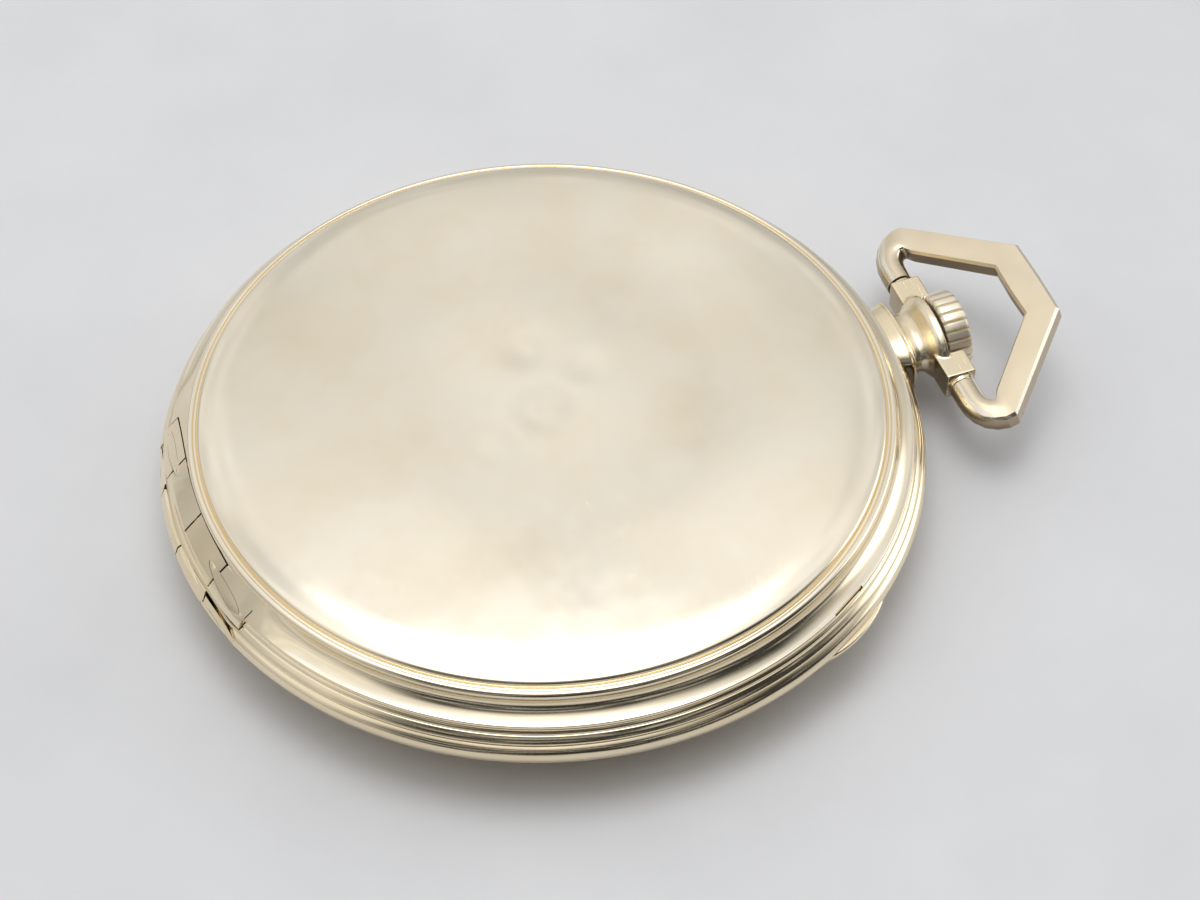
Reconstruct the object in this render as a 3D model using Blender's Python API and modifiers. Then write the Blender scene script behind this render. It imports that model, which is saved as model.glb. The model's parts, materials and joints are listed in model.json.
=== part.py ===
"""Open face pocket watch, lying on its crystal with its back up.

Metres, +Z up out of the back, +Y toward the pendant at twelve o'clock.
The origin is the case's centre on the plane that the crystal rests on.
The constants and every helper's arguments are in millimetres and degrees.
"""

import math

import bmesh
import bpy
from mathutils import Matrix, Vector

MM = 0.001
WELD = 1e-6
ROD_TWIST = 7.0  # keeps the corners of a round hole off the spokes of a turned face

# Case
CASE_R = 22.5
CASE_STEPS = 36
COVER_TOP_Z = 8.5
COVER_DOME_RISE = 1.1
COVER_DOME_R = 19.9
COVER_WALL = 0.45
SEAM_COVER_Z = 5.56
SEAM_BEZEL_Z = 4.52
SEAM_GAP = 0.12
BAND_R = 22.16
RING_BORE_R = 19.98
LEDGE_BORE_R = 19.3
LIP_ANGLE = 58.0  # the thumb notch and lip, clockwise from the pendant

# Hinges, on axes along X at six o'clock
COVER_HINGE_Y = -20.75
COVER_HINGE_Z = 5.95
COVER_KNUCKLE_R = 0.95
COVER_PIN_R = 0.3
BEZEL_HINGE_Y = -21.75
BEZEL_HINGE_Z = 3.95
BEZEL_KNUCKLE_R = 0.75
BEZEL_PIN_R = 0.22
HINGE_HALF = 7.6
HINGE_RUN = 0.06
KNUCKLE_ENDS = (-7.6, -4.0, 0.4, 4.4, 7.6)

# Pendant, crown and bow
STEM_Z = 3.7
PENDANT_TUBE_R = 1.65
PENDANT_BORE_R = 1.0
FLANGE_R = 2.85
PENDANT_FLAT = 0.76  # height of the pendant's oval over its width
EAR_HALF = 4.5
EAR_R = 0.88
BOW_Y = 25.08
BOW_TILT = 18.0
CROWN_R = 2.52
CROWN_FLUTES = 26
FLUTE_LAND = 9.0  # degrees of rim between two grooves
FLUTE_DEPTH = 0.24
CROWN_Y = 25.14
STEM_R = 0.5

# Levels inside the case
CRYSTAL_R = 18.6
DIAL_Z = 2.0
DIAL_T = 0.4
PLATE_Z = 3.1
PLATE_TOP = 4.4
BRIDGE_Z = 5.75
BRIDGE_TOP = 6.45
WHEEL_Z = 6.5
WHEEL_TOP = 6.85
MOVEMENT_R = 18.9

# Train centres
BARREL = (-4.451, 7.124)
CENTRE = (0.0, 0.0)
THIRD = (-3.327, -5.136)
FOURTH = (0.0, -9.0)
ESCAPE = (4.93, -8.15)
PALLET = (7.21, -6.21)
BALANCE = (9.8, -4.0)
CROWN_WHEEL = (0.0, 13.77)
MINUTE_WHEEL = (2.216, 2.837)
CLICK = (-10.2, 12.3)
DIAL_FEET = ((-14.2, -6.0), (14.2, 6.0), (11.5, -12.0))
CASE_SCREWS = ((-6.41, 17.62), (10.21, -15.72))
SCREW_PLACES = {
    "barrel_bridge_screw": ((-17.3, 2.4), (12.5, 12.0)),
    "train_bridge_screw": ((-15.8, -7.4), (1.6, -17.3)),
    "balance_cock_screw": ((15.7, -8.2),),
}

# Tooth counts and modules
BARREL_TEETH, BARREL_MODULE = 72, 0.2
CENTRE_LEAVES = 12
CENTRE_TEETH, CENTRE_MODULE = 64, 0.17
THIRD_LEAVES = 8
THIRD_TEETH, THIRD_MODULE = 60, 0.15
FOURTH_LEAVES = 8
FOURTH_TEETH, FOURTH_MODULE = 70, 0.13
ESCAPE_LEAVES = 7
ESCAPE_TEETH = 15
ESCAPE_R = 2.6
RATCHET_TEETH, CROWN_WHEEL_TEETH, WINDING_MODULE = 45, 35, 0.2
CANNON_LEAVES, MINUTE_TEETH, CANNON_MODULE = 12, 36, 0.15
MINUTE_LEAVES, HOUR_TEETH, HOUR_MODULE = 10, 40, 0.144
SPRING_POINTS = 49

for old in list(bpy.data.objects):
    bpy.data.objects.remove(old)
PARTS = bpy.data.collections.new("open_face_pocket_watch")
bpy.context.scene.collection.children.link(PARTS)
CUTTERS = bpy.data.collections.new("cutters")
bpy.context.scene.collection.children.link(CUTTERS)
CUTTERS.hide_render = True


# ---------------------------------------------------------------- materials

def material(name, colour, roughness, metallic):
    mat = bpy.data.materials.new(name)
    mat.use_nodes = True
    shader = mat.node_tree.nodes["Principled BSDF"]
    shader.inputs["Base Color"].default_value = (*colour, 1.0)
    shader.inputs["Roughness"].default_value = roughness
    shader.inputs["Metallic"].default_value = metallic
    return mat


GOLD = material("case_gold", (0.86, 0.70, 0.42), 0.16, 1.0)
SATIN_GOLD = material("bow_gold", (0.83, 0.68, 0.42), 0.32, 1.0)
GLASS = material("crystal_glass", (0.95, 0.97, 0.97), 0.03, 0.0)
DIAL_WHITE = material("dial_enamel", (0.90, 0.89, 0.85), 0.25, 0.0)
BLUED = material("blued_steel", (0.03, 0.06, 0.22), 0.25, 1.0)
STEEL = material("polished_steel", (0.62, 0.62, 0.62), 0.22, 1.0)
NICKEL = material("plate_nickel", (0.72, 0.70, 0.66), 0.35, 1.0)
BRASS = material("wheel_brass", (0.78, 0.62, 0.32), 0.30, 1.0)
RUBY = material("jewel_ruby", (0.55, 0.03, 0.10), 0.08, 0.0)


# ------------------------------------------------------------------ helpers

def evaluated_mesh(obj):
    bpy.context.view_layer.update()
    graph = bpy.context.evaluated_depsgraph_get()
    return bpy.data.meshes.new_from_object(obj.evaluated_get(graph))


def cleaned(mesh):
    """Weld the mesh and turn its faces outward."""
    work = bmesh.new()
    work.from_mesh(mesh)
    bmesh.ops.remove_doubles(work, verts=work.verts, dist=WELD)
    bmesh.ops.recalc_face_normals(work, faces=work.faces)
    work.to_mesh(mesh)
    work.free()
    return mesh


def solid(name, mesh, mat):
    obj = bpy.data.objects.new(name, mesh)
    PARTS.objects.link(obj)
    mesh.materials.clear()
    mesh.materials.append(mat)
    return obj


def turned(name, profile, mat, steps=24, closed=False):
    """Turn a profile of (r, z) points about Z with a Screw modifier."""
    mesh = bpy.data.meshes.new(name)
    points = [(r * MM, 0.0, z * MM) for r, z in profile]
    edges = [(i, i + 1) for i in range(len(points) - 1)]
    if closed:
        edges.append((len(points) - 1, 0))
    mesh.from_pydata(points, edges, [])
    obj = solid(name, mesh, mat)
    screw = obj.modifiers.new("turn", "SCREW")
    screw.axis = "Z"
    screw.steps = steps
    screw.render_steps = steps
    screw.use_merge_vertices = True
    screw.merge_threshold = WELD
    obj.data = cleaned(evaluated_mesh(obj))
    obj.modifiers.clear()
    obj.data.materials.clear()
    obj.data.materials.append(mat)
    return obj


def plate(name, outlines, low, high, mat):
    """A flat piece from closed outlines of (x, y) points; inner ones are holes."""
    curve = bpy.data.curves.new(name, "CURVE")
    curve.dimensions = "2D"
    curve.fill_mode = "BOTH"
    curve.extrude = (high - low) / 2 * MM
    for outline in outlines:
        spline = curve.splines.new("POLY")
        spline.points.add(len(outline) - 1)
        for point, (x, y) in zip(spline.points, outline):
            point.co = (x * MM, y * MM, 0.0, 1.0)
        spline.use_cyclic_u = True
    obj = bpy.data.objects.new(name, curve)
    PARTS.objects.link(obj)
    mesh = cleaned(evaluated_mesh(obj))
    bpy.data.objects.remove(obj)
    mesh.transform(Matrix.Translation((0.0, 0.0, (low + high) / 2 * MM)))
    return solid(name, mesh, mat)


def wire(name, points, radius, mat, sides=0):
    """A round wire along a line of points, with filled caps."""
    curve = bpy.data.curves.new(name, "CURVE")
    curve.dimensions = "3D"
    curve.bevel_depth = radius * MM
    curve.bevel_resolution = sides
    curve.use_fill_caps = True
    spline = curve.splines.new("POLY")
    spline.points.add(len(points) - 1)
    for point, (x, y, z) in zip(spline.points, points):
        point.co = (x * MM, y * MM, z * MM, 1.0)
    obj = bpy.data.objects.new(name, curve)
    PARTS.objects.link(obj)
    mesh = cleaned(evaluated_mesh(obj))
    bpy.data.objects.remove(obj)
    return solid(name, mesh, mat)


def block(name, low, high, mat=STEEL):
    """A box between two corners."""
    work = bmesh.new()
    bmesh.ops.create_cube(work, size=1.0)
    size = [(b - a) * MM for a, b in zip(low, high)]
    middle = [(b + a) / 2 * MM for a, b in zip(low, high)]
    bmesh.ops.scale(work, verts=work.verts, vec=Vector(size))
    bmesh.ops.translate(work, verts=work.verts, vec=Vector(middle))
    mesh = bpy.data.meshes.new(name)
    work.to_mesh(mesh)
    work.free()
    return solid(name, mesh, mat)


def rod(name, start, end, radius, mat=STEEL, steps=16):
    """A plain cylinder between two points."""
    a, b = Vector(start) * MM, Vector(end) * MM
    work = bmesh.new()
    turn = (b - a).to_track_quat("Z", "Y").to_matrix().to_4x4()
    twist = Matrix.Rotation(math.radians(ROD_TWIST), 4, "Z")
    place = Matrix.Translation((a + b) / 2) @ turn @ twist
    bmesh.ops.create_cone(
        work, cap_ends=True, segments=steps, radius1=radius * MM,
        radius2=radius * MM, depth=(b - a).length, matrix=place)
    mesh = bpy.data.meshes.new(name)
    work.to_mesh(mesh)
    work.free()
    return solid(name, mesh, mat)


def combine(target, tool, operation):
    """Join, cut or intersect with an exact Boolean, and drop the tool."""
    modifier = target.modifiers.new(operation.lower(), "BOOLEAN")
    modifier.operation = operation
    modifier.solver = "EXACT"
    modifier.object = tool
    mat = target.data.materials[0]
    mesh = evaluated_mesh(target)
    target.modifiers.clear()
    target.data = mesh
    mesh.materials.clear()
    mesh.materials.append(mat)
    bpy.data.objects.remove(tool)
    return target


def cut(target, *tools):
    for tool in tools:
        combine(target, tool, "DIFFERENCE")
    return target


def join(target, *tools):
    for tool in tools:
        combine(target, tool, "UNION")
    return target


def pivot(obj, x, y, z):
    """Put the origin on the piece's own axis without moving the piece."""
    obj.data.transform(Matrix.Translation((-x * MM, -y * MM, -z * MM)))
    obj.location = (x * MM, y * MM, z * MM)
    return obj


def lay_along_y(obj, y, z=STEM_Z):
    """Lay a piece that was turned about Z along +Y, from y on the stem's line."""
    obj.rotation_euler = (math.radians(-90), 0.0, 0.0)
    obj.location = (0.0, y * MM, z * MM)
    return obj


def fix_mesh(obj):
    """Fold the object's rotation and place into its mesh, so that it can be cut."""
    bpy.context.view_layer.update()
    obj.data.transform(obj.matrix_world)
    obj.matrix_world = Matrix.Identity(4)
    return obj


def smooth(obj, angle=35.0):
    obj.data.shade_smooth()
    obj.data.set_sharp_from_angle(angle=math.radians(angle))
    return obj


def circle(x, y, r, steps=16):
    return [
        (x + r * math.cos(2 * math.pi * i / steps),
         y + r * math.sin(2 * math.pi * i / steps))
        for i in range(steps)
    ]


def arc(x, y, r, start, end, steps):
    """Points on an arc, from one angle to another in degrees."""
    out = []
    for i in range(steps + 1):
        a = math.radians(start + (end - start) * i / steps)
        out.append((x + r * math.cos(a), y + r * math.sin(a)))
    return out


def teeth(count, module, phase=0.0, tip=0.75, root=1.15):
    """A wheel's outline with one pointed tooth for each step."""
    pitch_r = count * module / 2
    out = []
    for i in range(count):
        a = phase + 2 * math.pi * i / count
        b = a + math.pi / count
        out.append(((pitch_r + tip * module) * math.cos(a),
                    (pitch_r + tip * module) * math.sin(a)))
        out.append(((pitch_r - root * module) * math.cos(b),
                    (pitch_r - root * module) * math.sin(b)))
    return out


def leaves(count, module, phase=0.0, tip=0.7, root=1.15, share=0.2):
    """A pinion's outline, with blunt leaves that are narrower than their gaps."""
    pitch_r = count * module / 2
    out = []
    for i in range(count):
        a = phase + 2 * math.pi * i / count
        for r, off in ((pitch_r - root * module, -0.3), (pitch_r + tip * module, -share / 2),
                       (pitch_r + tip * module, share / 2), (pitch_r - root * module, 0.3)):
            b = a + 2 * math.pi * off / count
            out.append((r * math.cos(b), r * math.sin(b)))
    return out


def mesh_phase(count_a, phase_a, a, count_b, b):
    """The phase that sets a tooth of wheel b in the gap of wheel a."""
    line = math.atan2(b[1] - a[1], b[0] - a[0])
    step_a = (line - phase_a) * count_a / (2 * math.pi)
    return line + math.pi - (0.5 - step_a) * 2 * math.pi / count_b


def spokes(rim_r, hub_r, count, half_width, phase=0.0, steps=3):
    """The windows between a wheel's spokes."""
    out = []
    for i in range(count):
        low = phase + 360.0 * i / count
        high = low + 360.0 / count
        outer = math.degrees(half_width / rim_r)
        inner = math.degrees(half_width / hub_r)
        window = arc(0, 0, rim_r, low + outer, high - outer, steps)
        window += arc(0, 0, hub_r, high - inner, low + inner, 1)
        out.append(window)
    return out


# --------------------------------------------------------------------- case

def dome(r):
    return COVER_TOP_Z - COVER_DOME_RISE * (r / COVER_DOME_R) ** 2.2


def hinge_bites(clip, axis_y, axis_z, radius, spans):
    """Knuckles on one hinge axis, turned flush with the case by the clip."""
    out = []
    for low, high in spans:
        piece = rod("knuckle", (low, axis_y, axis_z), (high, axis_y, axis_z), radius)
        tool = turned("clip", clip, STEEL, CASE_STEPS)
        out.append(combine(piece, tool, "INTERSECT"))
    return out


COVER_CLIP = ((0, 7.05), (20.75, 7.05), (21.72, 5.95), (22.02, 5.3), (22.02, 4.7), (0, 4.7))
BEZEL_CLIP = ((0, 5.0), (22.06, 5.0), (22.27, 4.4), (22.46, 3.95), (22.27, 3.4), (21.85, 2.8), (0, 2.8))


def spans_of(first):
    """The band's knuckles are the even ones and the leaf's are the odd ones."""
    ends = KNUCKLE_ENDS
    out = []
    for i in range(first, len(ends) - 1, 2):
        low = ends[i] + (HINGE_RUN if i else 0.0)
        high = ends[i + 1] - (HINGE_RUN if i + 2 < len(ends) else 0.0)
        out.append((low, high))
    return out


def back_cover():
    outer = [(r, dome(r)) for r in (0, 7, 12, 16, COVER_DOME_R)]
    rim = [(20.08, 7.1), (20.3, 7.14), (20.5, 7.0), (20.72, 6.4),
           (21.08, 5.96), (21.6, 5.72), (21.66, SEAM_COVER_Z)]
    inner = [(20.95, SEAM_COVER_Z), (20.55, 6.05), (19.9, 6.6)]
    under = [(r, dome(r) - COVER_WALL) for r in (18.2, 12, 0)]
    cover = turned("back_cover", outer + rim + inner + under, GOLD, CASE_STEPS)
    reach = HINGE_HALF + HINGE_RUN
    wide = COVER_KNUCKLE_R + 0.1
    axis = (COVER_HINGE_Y, COVER_HINGE_Z)
    cut(cover,
        rod("c", (-reach, *axis), (reach, *axis), wide),
        block("c", (-reach, -23, 5), (reach, COVER_HINGE_Y, 6.2)))
    for low, high in spans_of(1):
        arm = block("a", (low + 0.02, COVER_HINGE_Y, 6.1), (high - 0.02, -19.4, 6.75))
        join(cover, arm)
    join(cover, *hinge_bites(COVER_CLIP, *axis, COVER_KNUCKLE_R, spans_of(1)))
    cut(cover,
        rod("c", (-9, *axis), (9, *axis), COVER_PIN_R + HINGE_RUN, steps=12))
    notch = block("c", (-1.3, 21.45, 5.4), (1.3, 22.5, 5.95))
    notch.data.transform(Matrix.Rotation(math.radians(-LIP_ANGLE), 4, "Z"))
    cut(cover, notch)
    return pivot(smooth(cover), 0, *axis)


def case_middle():
    top = SEAM_COVER_Z - SEAM_GAP
    base = SEAM_BEZEL_Z + SEAM_GAP
    profile = [(20.4, 5.58), (20.75, top), (21.66, top), (21.95, 5.32), (BAND_R, 5.0),
               (BAND_R, 4.8), (22.04, base), (21.1, base), (21.1, 3.3), (RING_BORE_R, 3.2),
               (RING_BORE_R, base), (LEDGE_BORE_R, base), (LEDGE_BORE_R, 5.58)]
    band = turned("case_middle", profile, GOLD, CASE_STEPS, closed=True)
    cover_axis = (COVER_HINGE_Y, COVER_HINGE_Z)
    bezel_axis = (BEZEL_HINGE_Y, BEZEL_HINGE_Z)
    cut(band, rod("c", (-8.3, *bezel_axis), (8.3, *bezel_axis), 1.05))
    for low, high in spans_of(1):
        reach = (low - HINGE_RUN, high + HINGE_RUN)
        cut(band, rod("c", (reach[0], *cover_axis), (reach[1], *cover_axis),
                      COVER_KNUCKLE_R + 0.08))
    join(band, *hinge_bites(COVER_CLIP, *cover_axis, COVER_KNUCKLE_R, spans_of(0)))
    for low, high in spans_of(0):
        arm = block("a", (low + 0.02, -21.86, 3.98), (high - 0.02, -21.27, 4.95))
        tool = turned("clip", BEZEL_CLIP, STEEL, CASE_STEPS)
        join(band, combine(arm, tool, "INTERSECT"))
    join(band, *hinge_bites(BEZEL_CLIP, *bezel_axis, BEZEL_KNUCKLE_R, spans_of(0)))
    cut(band,
        rod("c", (-9, *cover_axis), (9, *cover_axis), COVER_PIN_R + HINGE_RUN, steps=12),
        rod("c", (-9, *bezel_axis), (9, *bezel_axis), BEZEL_PIN_R + HINGE_RUN, steps=12),
        rod("c", (0, 18, STEM_Z), (0, 24, STEM_Z), PENDANT_TUBE_R + 0.07))
    return smooth(band)


def bezel():
    profile = [(22.04, SEAM_BEZEL_Z), (22.34, 4.3), (CASE_R, 3.95), (22.34, 3.5), (21.9, 2.9),
               (20.9, 1.95), (19.9, 1.25), (19.1, 0.9), (18.7, 0.9), (18.7, 1.6),
               (18.0, 1.6), (18.0, 1.88), (19.2, 1.88), (19.2, 2.95), (21.25, 2.95),
               (21.25, SEAM_BEZEL_Z)]
    ring = turned("bezel", profile, GOLD, CASE_STEPS, closed=True)
    axis = (BEZEL_HINGE_Y, BEZEL_HINGE_Z)
    reach = HINGE_HALF + HINGE_RUN
    cut(ring,
        rod("c", (-reach, *axis), (reach, *axis), BEZEL_KNUCKLE_R + 0.08),
        block("c", (-reach, -23, 3.85), (reach, -20.9, 5.0)))
    for low, high in spans_of(1):
        arm = block("a", (low + 0.02, -21.93, 3.02), (high - 0.02, -21.33, 3.7))
        tool = turned("clip", BEZEL_CLIP, STEEL, CASE_STEPS)
        join(ring, combine(arm, tool, "INTERSECT"))
    join(ring, *hinge_bites(BEZEL_CLIP, *axis, BEZEL_KNUCKLE_R, spans_of(1)))
    cut(ring,
        rod("c", (-9, *axis), (9, *axis), BEZEL_PIN_R + HINGE_RUN, steps=12),
        rod("c", (0, 20.3, STEM_Z), (0, 24, STEM_Z), PENDANT_TUBE_R + 0.2),
        block("c", (-1.8, 21.15, STEM_Z), (1.8, 24, 5)))
    lip = turned("lip", [(0, 4.5), (22.1, 4.5), (22.66, 4.3), (22.9, 3.95), (22.66, 3.55),
                         (22, 3.1), (0, 3.1)], GOLD, CASE_STEPS)
    window = block("w", (-1.9, 21.7, 3), (1.9, 24, 5))
    window.data.transform(Matrix.Rotation(math.radians(-LIP_ANGLE), 4, "Z"))
    join(ring, combine(lip, window, "INTERSECT"))
    return pivot(smooth(ring), 0, *axis)


def crystal():
    profile = [(0, 0.55), (15.2, 0.55), (17.3, 0.85), (18.0, 1.5),
               (CRYSTAL_R, 1.5), (18.5, 1.05), (17.4, 0.3), (15.5, 0), (0, 0)]
    return smooth(turned("crystal", profile, GLASS, CASE_STEPS))


def hinge_pins():
    out = []
    for name, y, z, r in (("back_hinge_pin", COVER_HINGE_Y, COVER_HINGE_Z, COVER_PIN_R),
                          ("bezel_hinge_pin", BEZEL_HINGE_Y, BEZEL_HINGE_Z, BEZEL_PIN_R)):
        half = 7.0 if name.startswith("back") else 5.6
        pin = rod(name, (-half, y, z), (half, y, z), r, STEEL, 12)
        out.append(pivot(smooth(pin), 0, y, z))
    return out


# ------------------------------------------------- pendant, crown and bow

def pendant():
    length = [(PENDANT_TUBE_R, 0.0), (PENDANT_TUBE_R, 2.02), (FLANGE_R, 2.02),
              (FLANGE_R, 2.4), (2.0, 2.8), (1.82, 3.3), (2.0, 3.75), (2.75, 4.0), (2.86, 4.38)]
    profile = [(0.0, 4.38)] + length[::-1] + [(0.0, 0.0)]
    tube = turned("pendant", profile, GOLD, 24)
    tube.scale = (1.0, PENDANT_FLAT, 1.0)
    fix_mesh(lay_along_y(tube, 20.6))
    for side in (-1, 1):
        ear = rod("ear", (side * 2.4, BOW_Y, STEM_Z), (side * EAR_HALF, BOW_Y, STEM_Z), EAR_R,
                  GOLD, 16)
        cheek = block("cheek", (min(side * 2.3, side * 3.1), 24.62, STEM_Z - 0.6),
                      (max(side * 2.3, side * 3.1), 26.2, STEM_Z + 0.6))
        join(tube, ear, cheek)
    cut(tube,
        rod("c", (0, 25.03, STEM_Z), (0, 30, STEM_Z), CROWN_R + 0.1, steps=28),
        rod("c", (0, 20, STEM_Z), (0, 27, STEM_Z), PENDANT_BORE_R, steps=20))
    for side in (-1, 1):
        cut(tube, rod("c", (side * 3.3, BOW_Y, STEM_Z), (side * 5, BOW_Y, STEM_Z), 0.46, steps=12))
    return smooth(tube)


def pendant_sleeve():
    profile = [(0.58, 3.7), (0.93, 3.7), (0.93, 0.3), (0.58, 0.3)]
    return smooth(lay_along_y(turned("pendant_sleeve", profile, STEEL, 20, closed=True), 20.6))


def bow_section(t, round_r, half_w, half_h, bevel):
    """Twelve points round a bevelled bar (t = 1), a round arm (t = 0) or a blend of both."""
    out = []
    for i in range(12):
        a = 2 * math.pi * (i + 0.5) / 12
        ca, sa = math.cos(a), math.sin(a)
        px = math.copysign(min(abs(ca) * 1.7, 1.0), ca) * half_w
        pz = math.copysign(min(abs(sa) * 1.55, 1.0), sa) * half_h
        if abs(abs(px) - half_w) < 1e-6 and abs(abs(pz) - half_h) < 1e-6:
            px -= math.copysign(bevel, px)
        out.append((round_r * ca * (1 - t) + px * t, round_r * sa * (1 - t) + pz * t))
    return out


def bow():
    """A six-sided ring that is open at the pendant, lofted along one half and mirrored."""
    arm, half_w, half_h = 0.87, 1.0, 0.6
    path = [
        ((4.57, 0.0), (1.0, 0.0), 0.0, 1.0),
        ((5.8, 0.0), (1.0, 0.02), 0.0, 1.0),
        ((6.75, 0.22), (0.93, 0.36), 0.1, 1.0),
        ((7.42, 0.78), (0.45, 0.89), 0.5, 0.98),
        ((7.2, 1.74), (0.0, 1.0), 1.0, 1.2),
        ((2.46, 6.33), (-0.927, 0.374), 1.0, 1.05),
        ((0.0, 6.33), (-1.0, 0.0), 1.0, 1.03),
    ]
    work = bmesh.new()
    rings = []
    for (x, y), (dx, dy), t, scale in path:
        norm = math.hypot(dx, dy)
        side = Vector((dy / norm, -dx / norm, 0.0))
        ring = []
        for w, h in bow_section(t, arm, half_w * scale, half_h, 0.22):
            ring.append(work.verts.new((Vector((x, y, 0.0)) + side * w + Vector((0, 0, h))) * MM))
        rings.append(ring)
    for a, b in zip(rings, rings[1:]):
        for i in range(len(a)):
            j = (i + 1) % len(a)
            work.faces.new((a[i], a[j], b[j], b[i]))
    work.faces.new(rings[0])
    mesh = bpy.data.meshes.new("bow")
    work.to_mesh(mesh)
    work.free()
    ring = solid("bow", mesh, SATIN_GOLD)
    mirror = ring.modifiers.new("mirror", "MIRROR")
    mirror.merge_threshold = WELD
    ring.data = cleaned(evaluated_mesh(ring))
    ring.modifiers.clear()
    ring.data.materials.clear()
    ring.data.materials.append(SATIN_GOLD)
    for side in (-1, 1):
        join(ring, rod("p", (side * 3.6, 0, 0), (side * 4.9, 0, 0), 0.4, SATIN_GOLD, 12))
    ring.rotation_euler = (math.radians(BOW_TILT), 0.0, 0.0)
    ring.location = (0.0, BOW_Y * MM, STEM_Z * MM)
    return smooth(ring)


def crown():
    """A fluted cap with a low end dome, and a hub that holds the stem."""
    step = 360.0 / CROWN_FLUTES
    flutes = []
    for i in range(CROWN_FLUTES):
        flutes += arc(0, 0, CROWN_R, step * i, step * i + FLUTE_LAND, 1)
        middle = math.radians(step * i + (step + FLUTE_LAND) / 2)
        floor_r = CROWN_R - FLUTE_DEPTH
        flutes.append((floor_r * math.cos(middle), floor_r * math.sin(middle)))
    cap = plate("crown", [flutes], 0.0, 1.6, GOLD)
    rim = turned("t", [(0, 1.7), (CROWN_R - 0.25, 1.7), (CROWN_R + 0.1, 1.36),
                       (CROWN_R + 0.1, 0.2), (CROWN_R - 0.2, -0.1), (0, -0.1)], GOLD, 30)
    combine(cap, rim, "INTERSECT")
    end = turned("e", [(0, 1.98), (1.1, 1.92), (1.8, 1.76), (2.05, 1.56), (0, 1.4)], GOLD, 24)
    hub = turned("h", [(0, 0.2), (0.85, 0.2), (0.85, -0.6), (0, -0.6)], GOLD, 12)
    well = turned("w", [(0, 0.6), (0.5, 0.6), (0.5, -0.8), (0, -0.8)], GOLD, 12)
    join(cap, end, hub)
    cut(cap, well)
    return smooth(lay_along_y(cap, CROWN_Y))


def stem():
    """From the crown's hub through the sleeve, clutch and winding pinion."""
    profile = [(0, 12.1), (0.42, 12.1), (0.42, 10.8), (STEM_R, 10.7), (STEM_R, 2.8),
               (0.36, 2.7), (0.36, 0.5), (0.26, 0.4), (0.26, 0.0), (0, 0.0)]
    return smooth(lay_along_y(turned("stem", profile, STEEL, 12), 13.5))


def winding_pieces():
    pinion = plate("winding_pinion", [leaves(14, 0.14), circle(0, 0, 0.56, 10)], 0.0, 1.1, STEEL)
    lay_along_y(pinion, 16.7)
    clutch = turned("clutch", [(0.42, 2.1), (0.98, 2.1), (0.98, 1.5), (0.72, 1.4),
                               (0.72, 0.9), (0.98, 0.8), (0.98, 0.0), (0.42, 0.0)],
                    STEEL, 16, closed=True)
    lay_along_y(clutch, 13.95)
    return pinion, smooth(clutch)


# ------------------------------------------------------ dial side

def dial():
    disc = turned("dial", [(1.3, DIAL_Z + DIAL_T), (18.9, DIAL_Z + DIAL_T), (18.9, DIAL_Z + 0.06),
                           (18.8, DIAL_Z), (1.3, DIAL_Z)], DIAL_WHITE, CASE_STEPS, closed=True)
    for x, y in DIAL_FEET:
        join(disc, rod("f", (x, y, DIAL_Z + 0.2), (x, y, 3.9), 0.4, BRASS, 10))
    cut(disc, rod("c", (*FOURTH, 1), (*FOURTH, 3), 0.35, steps=12))
    return smooth(disc)


def hand(name, length, tail, half, low, high, hole, at, angle):
    hub = 2.2 * hole
    outline = [(-0.08, length), (-half, length * 0.55), (-half * 0.7, hub)]
    outline += [(hub * math.cos(math.radians(a)), hub * math.sin(math.radians(a)))
                for a in (150, 180, 210, 240)]
    outline += [(-half * 0.7, -tail), (half * 0.7, -tail)]
    outline += [(hub * math.cos(math.radians(a)), hub * math.sin(math.radians(a)))
                for a in (-60, -30, 0, 30)]
    outline += [(half * 0.7, hub), (half, length * 0.55), (0.08, length)]
    piece = plate(name, [outline, circle(0, 0, hole, 12)], low, high, BLUED)
    piece.rotation_euler = (0.0, 0.0, math.radians(angle))
    piece.location = (at[0] * MM, at[1] * MM, 0.0)
    return piece


def hands():
    hour = hand("hour_hand", 9.2, 1.9, 0.55, 1.2, 1.36, 1.18, CENTRE, 54.8)
    minute = hand("minute_hand", 14.6, 2.6, 0.42, 0.86, 1.0, 0.78, CENTRE, -62)
    second = hand("seconds_hand", 3.4, 1.2, 0.14, 1.6, 1.7, 0.22, FOURTH, 155)
    return hour, minute, second


def motion_work():
    cannon = turned("cannon_pinion", [(0.42, 3.0), (0.7, 3.0), (0.7, 0.8), (0.42, 0.8)],
                    STEEL, 14, closed=True)
    join(cannon, plate("l", [leaves(CANNON_LEAVES, CANNON_MODULE), circle(0, 0, 0.5, 12)],
                       2.74, 3.02, STEEL))
    phase = mesh_phase(CANNON_LEAVES, 0.0, CENTRE, MINUTE_TEETH, MINUTE_WHEEL)
    minute = plate("minute_wheel", [teeth(MINUTE_TEETH, CANNON_MODULE, phase)],
                   2.8, 2.94, BRASS)
    join(minute, plate("p", [leaves(MINUTE_LEAVES, HOUR_MODULE)], 2.46, 2.82, STEEL))
    cut(minute, rod("c", (0, 0, 2), (0, 0, 3.2), 0.3, steps=12))
    minute.location = (MINUTE_WHEEL[0] * MM, MINUTE_WHEEL[1] * MM, 0.0)
    phase = mesh_phase(MINUTE_LEAVES, 0.0, MINUTE_WHEEL, HOUR_TEETH, CENTRE)
    hour = plate("hour_wheel", [teeth(HOUR_TEETH, HOUR_MODULE, phase)], 2.47, 2.62, BRASS)
    join(hour, rod("t", (0, 0, 1.16), (0, 0, 2.55), 1.1, BRASS, 16))
    cut(hour, rod("c", (0, 0, 1), (0, 0, 3), 0.8, steps=16))
    return cannon, minute, hour


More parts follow.
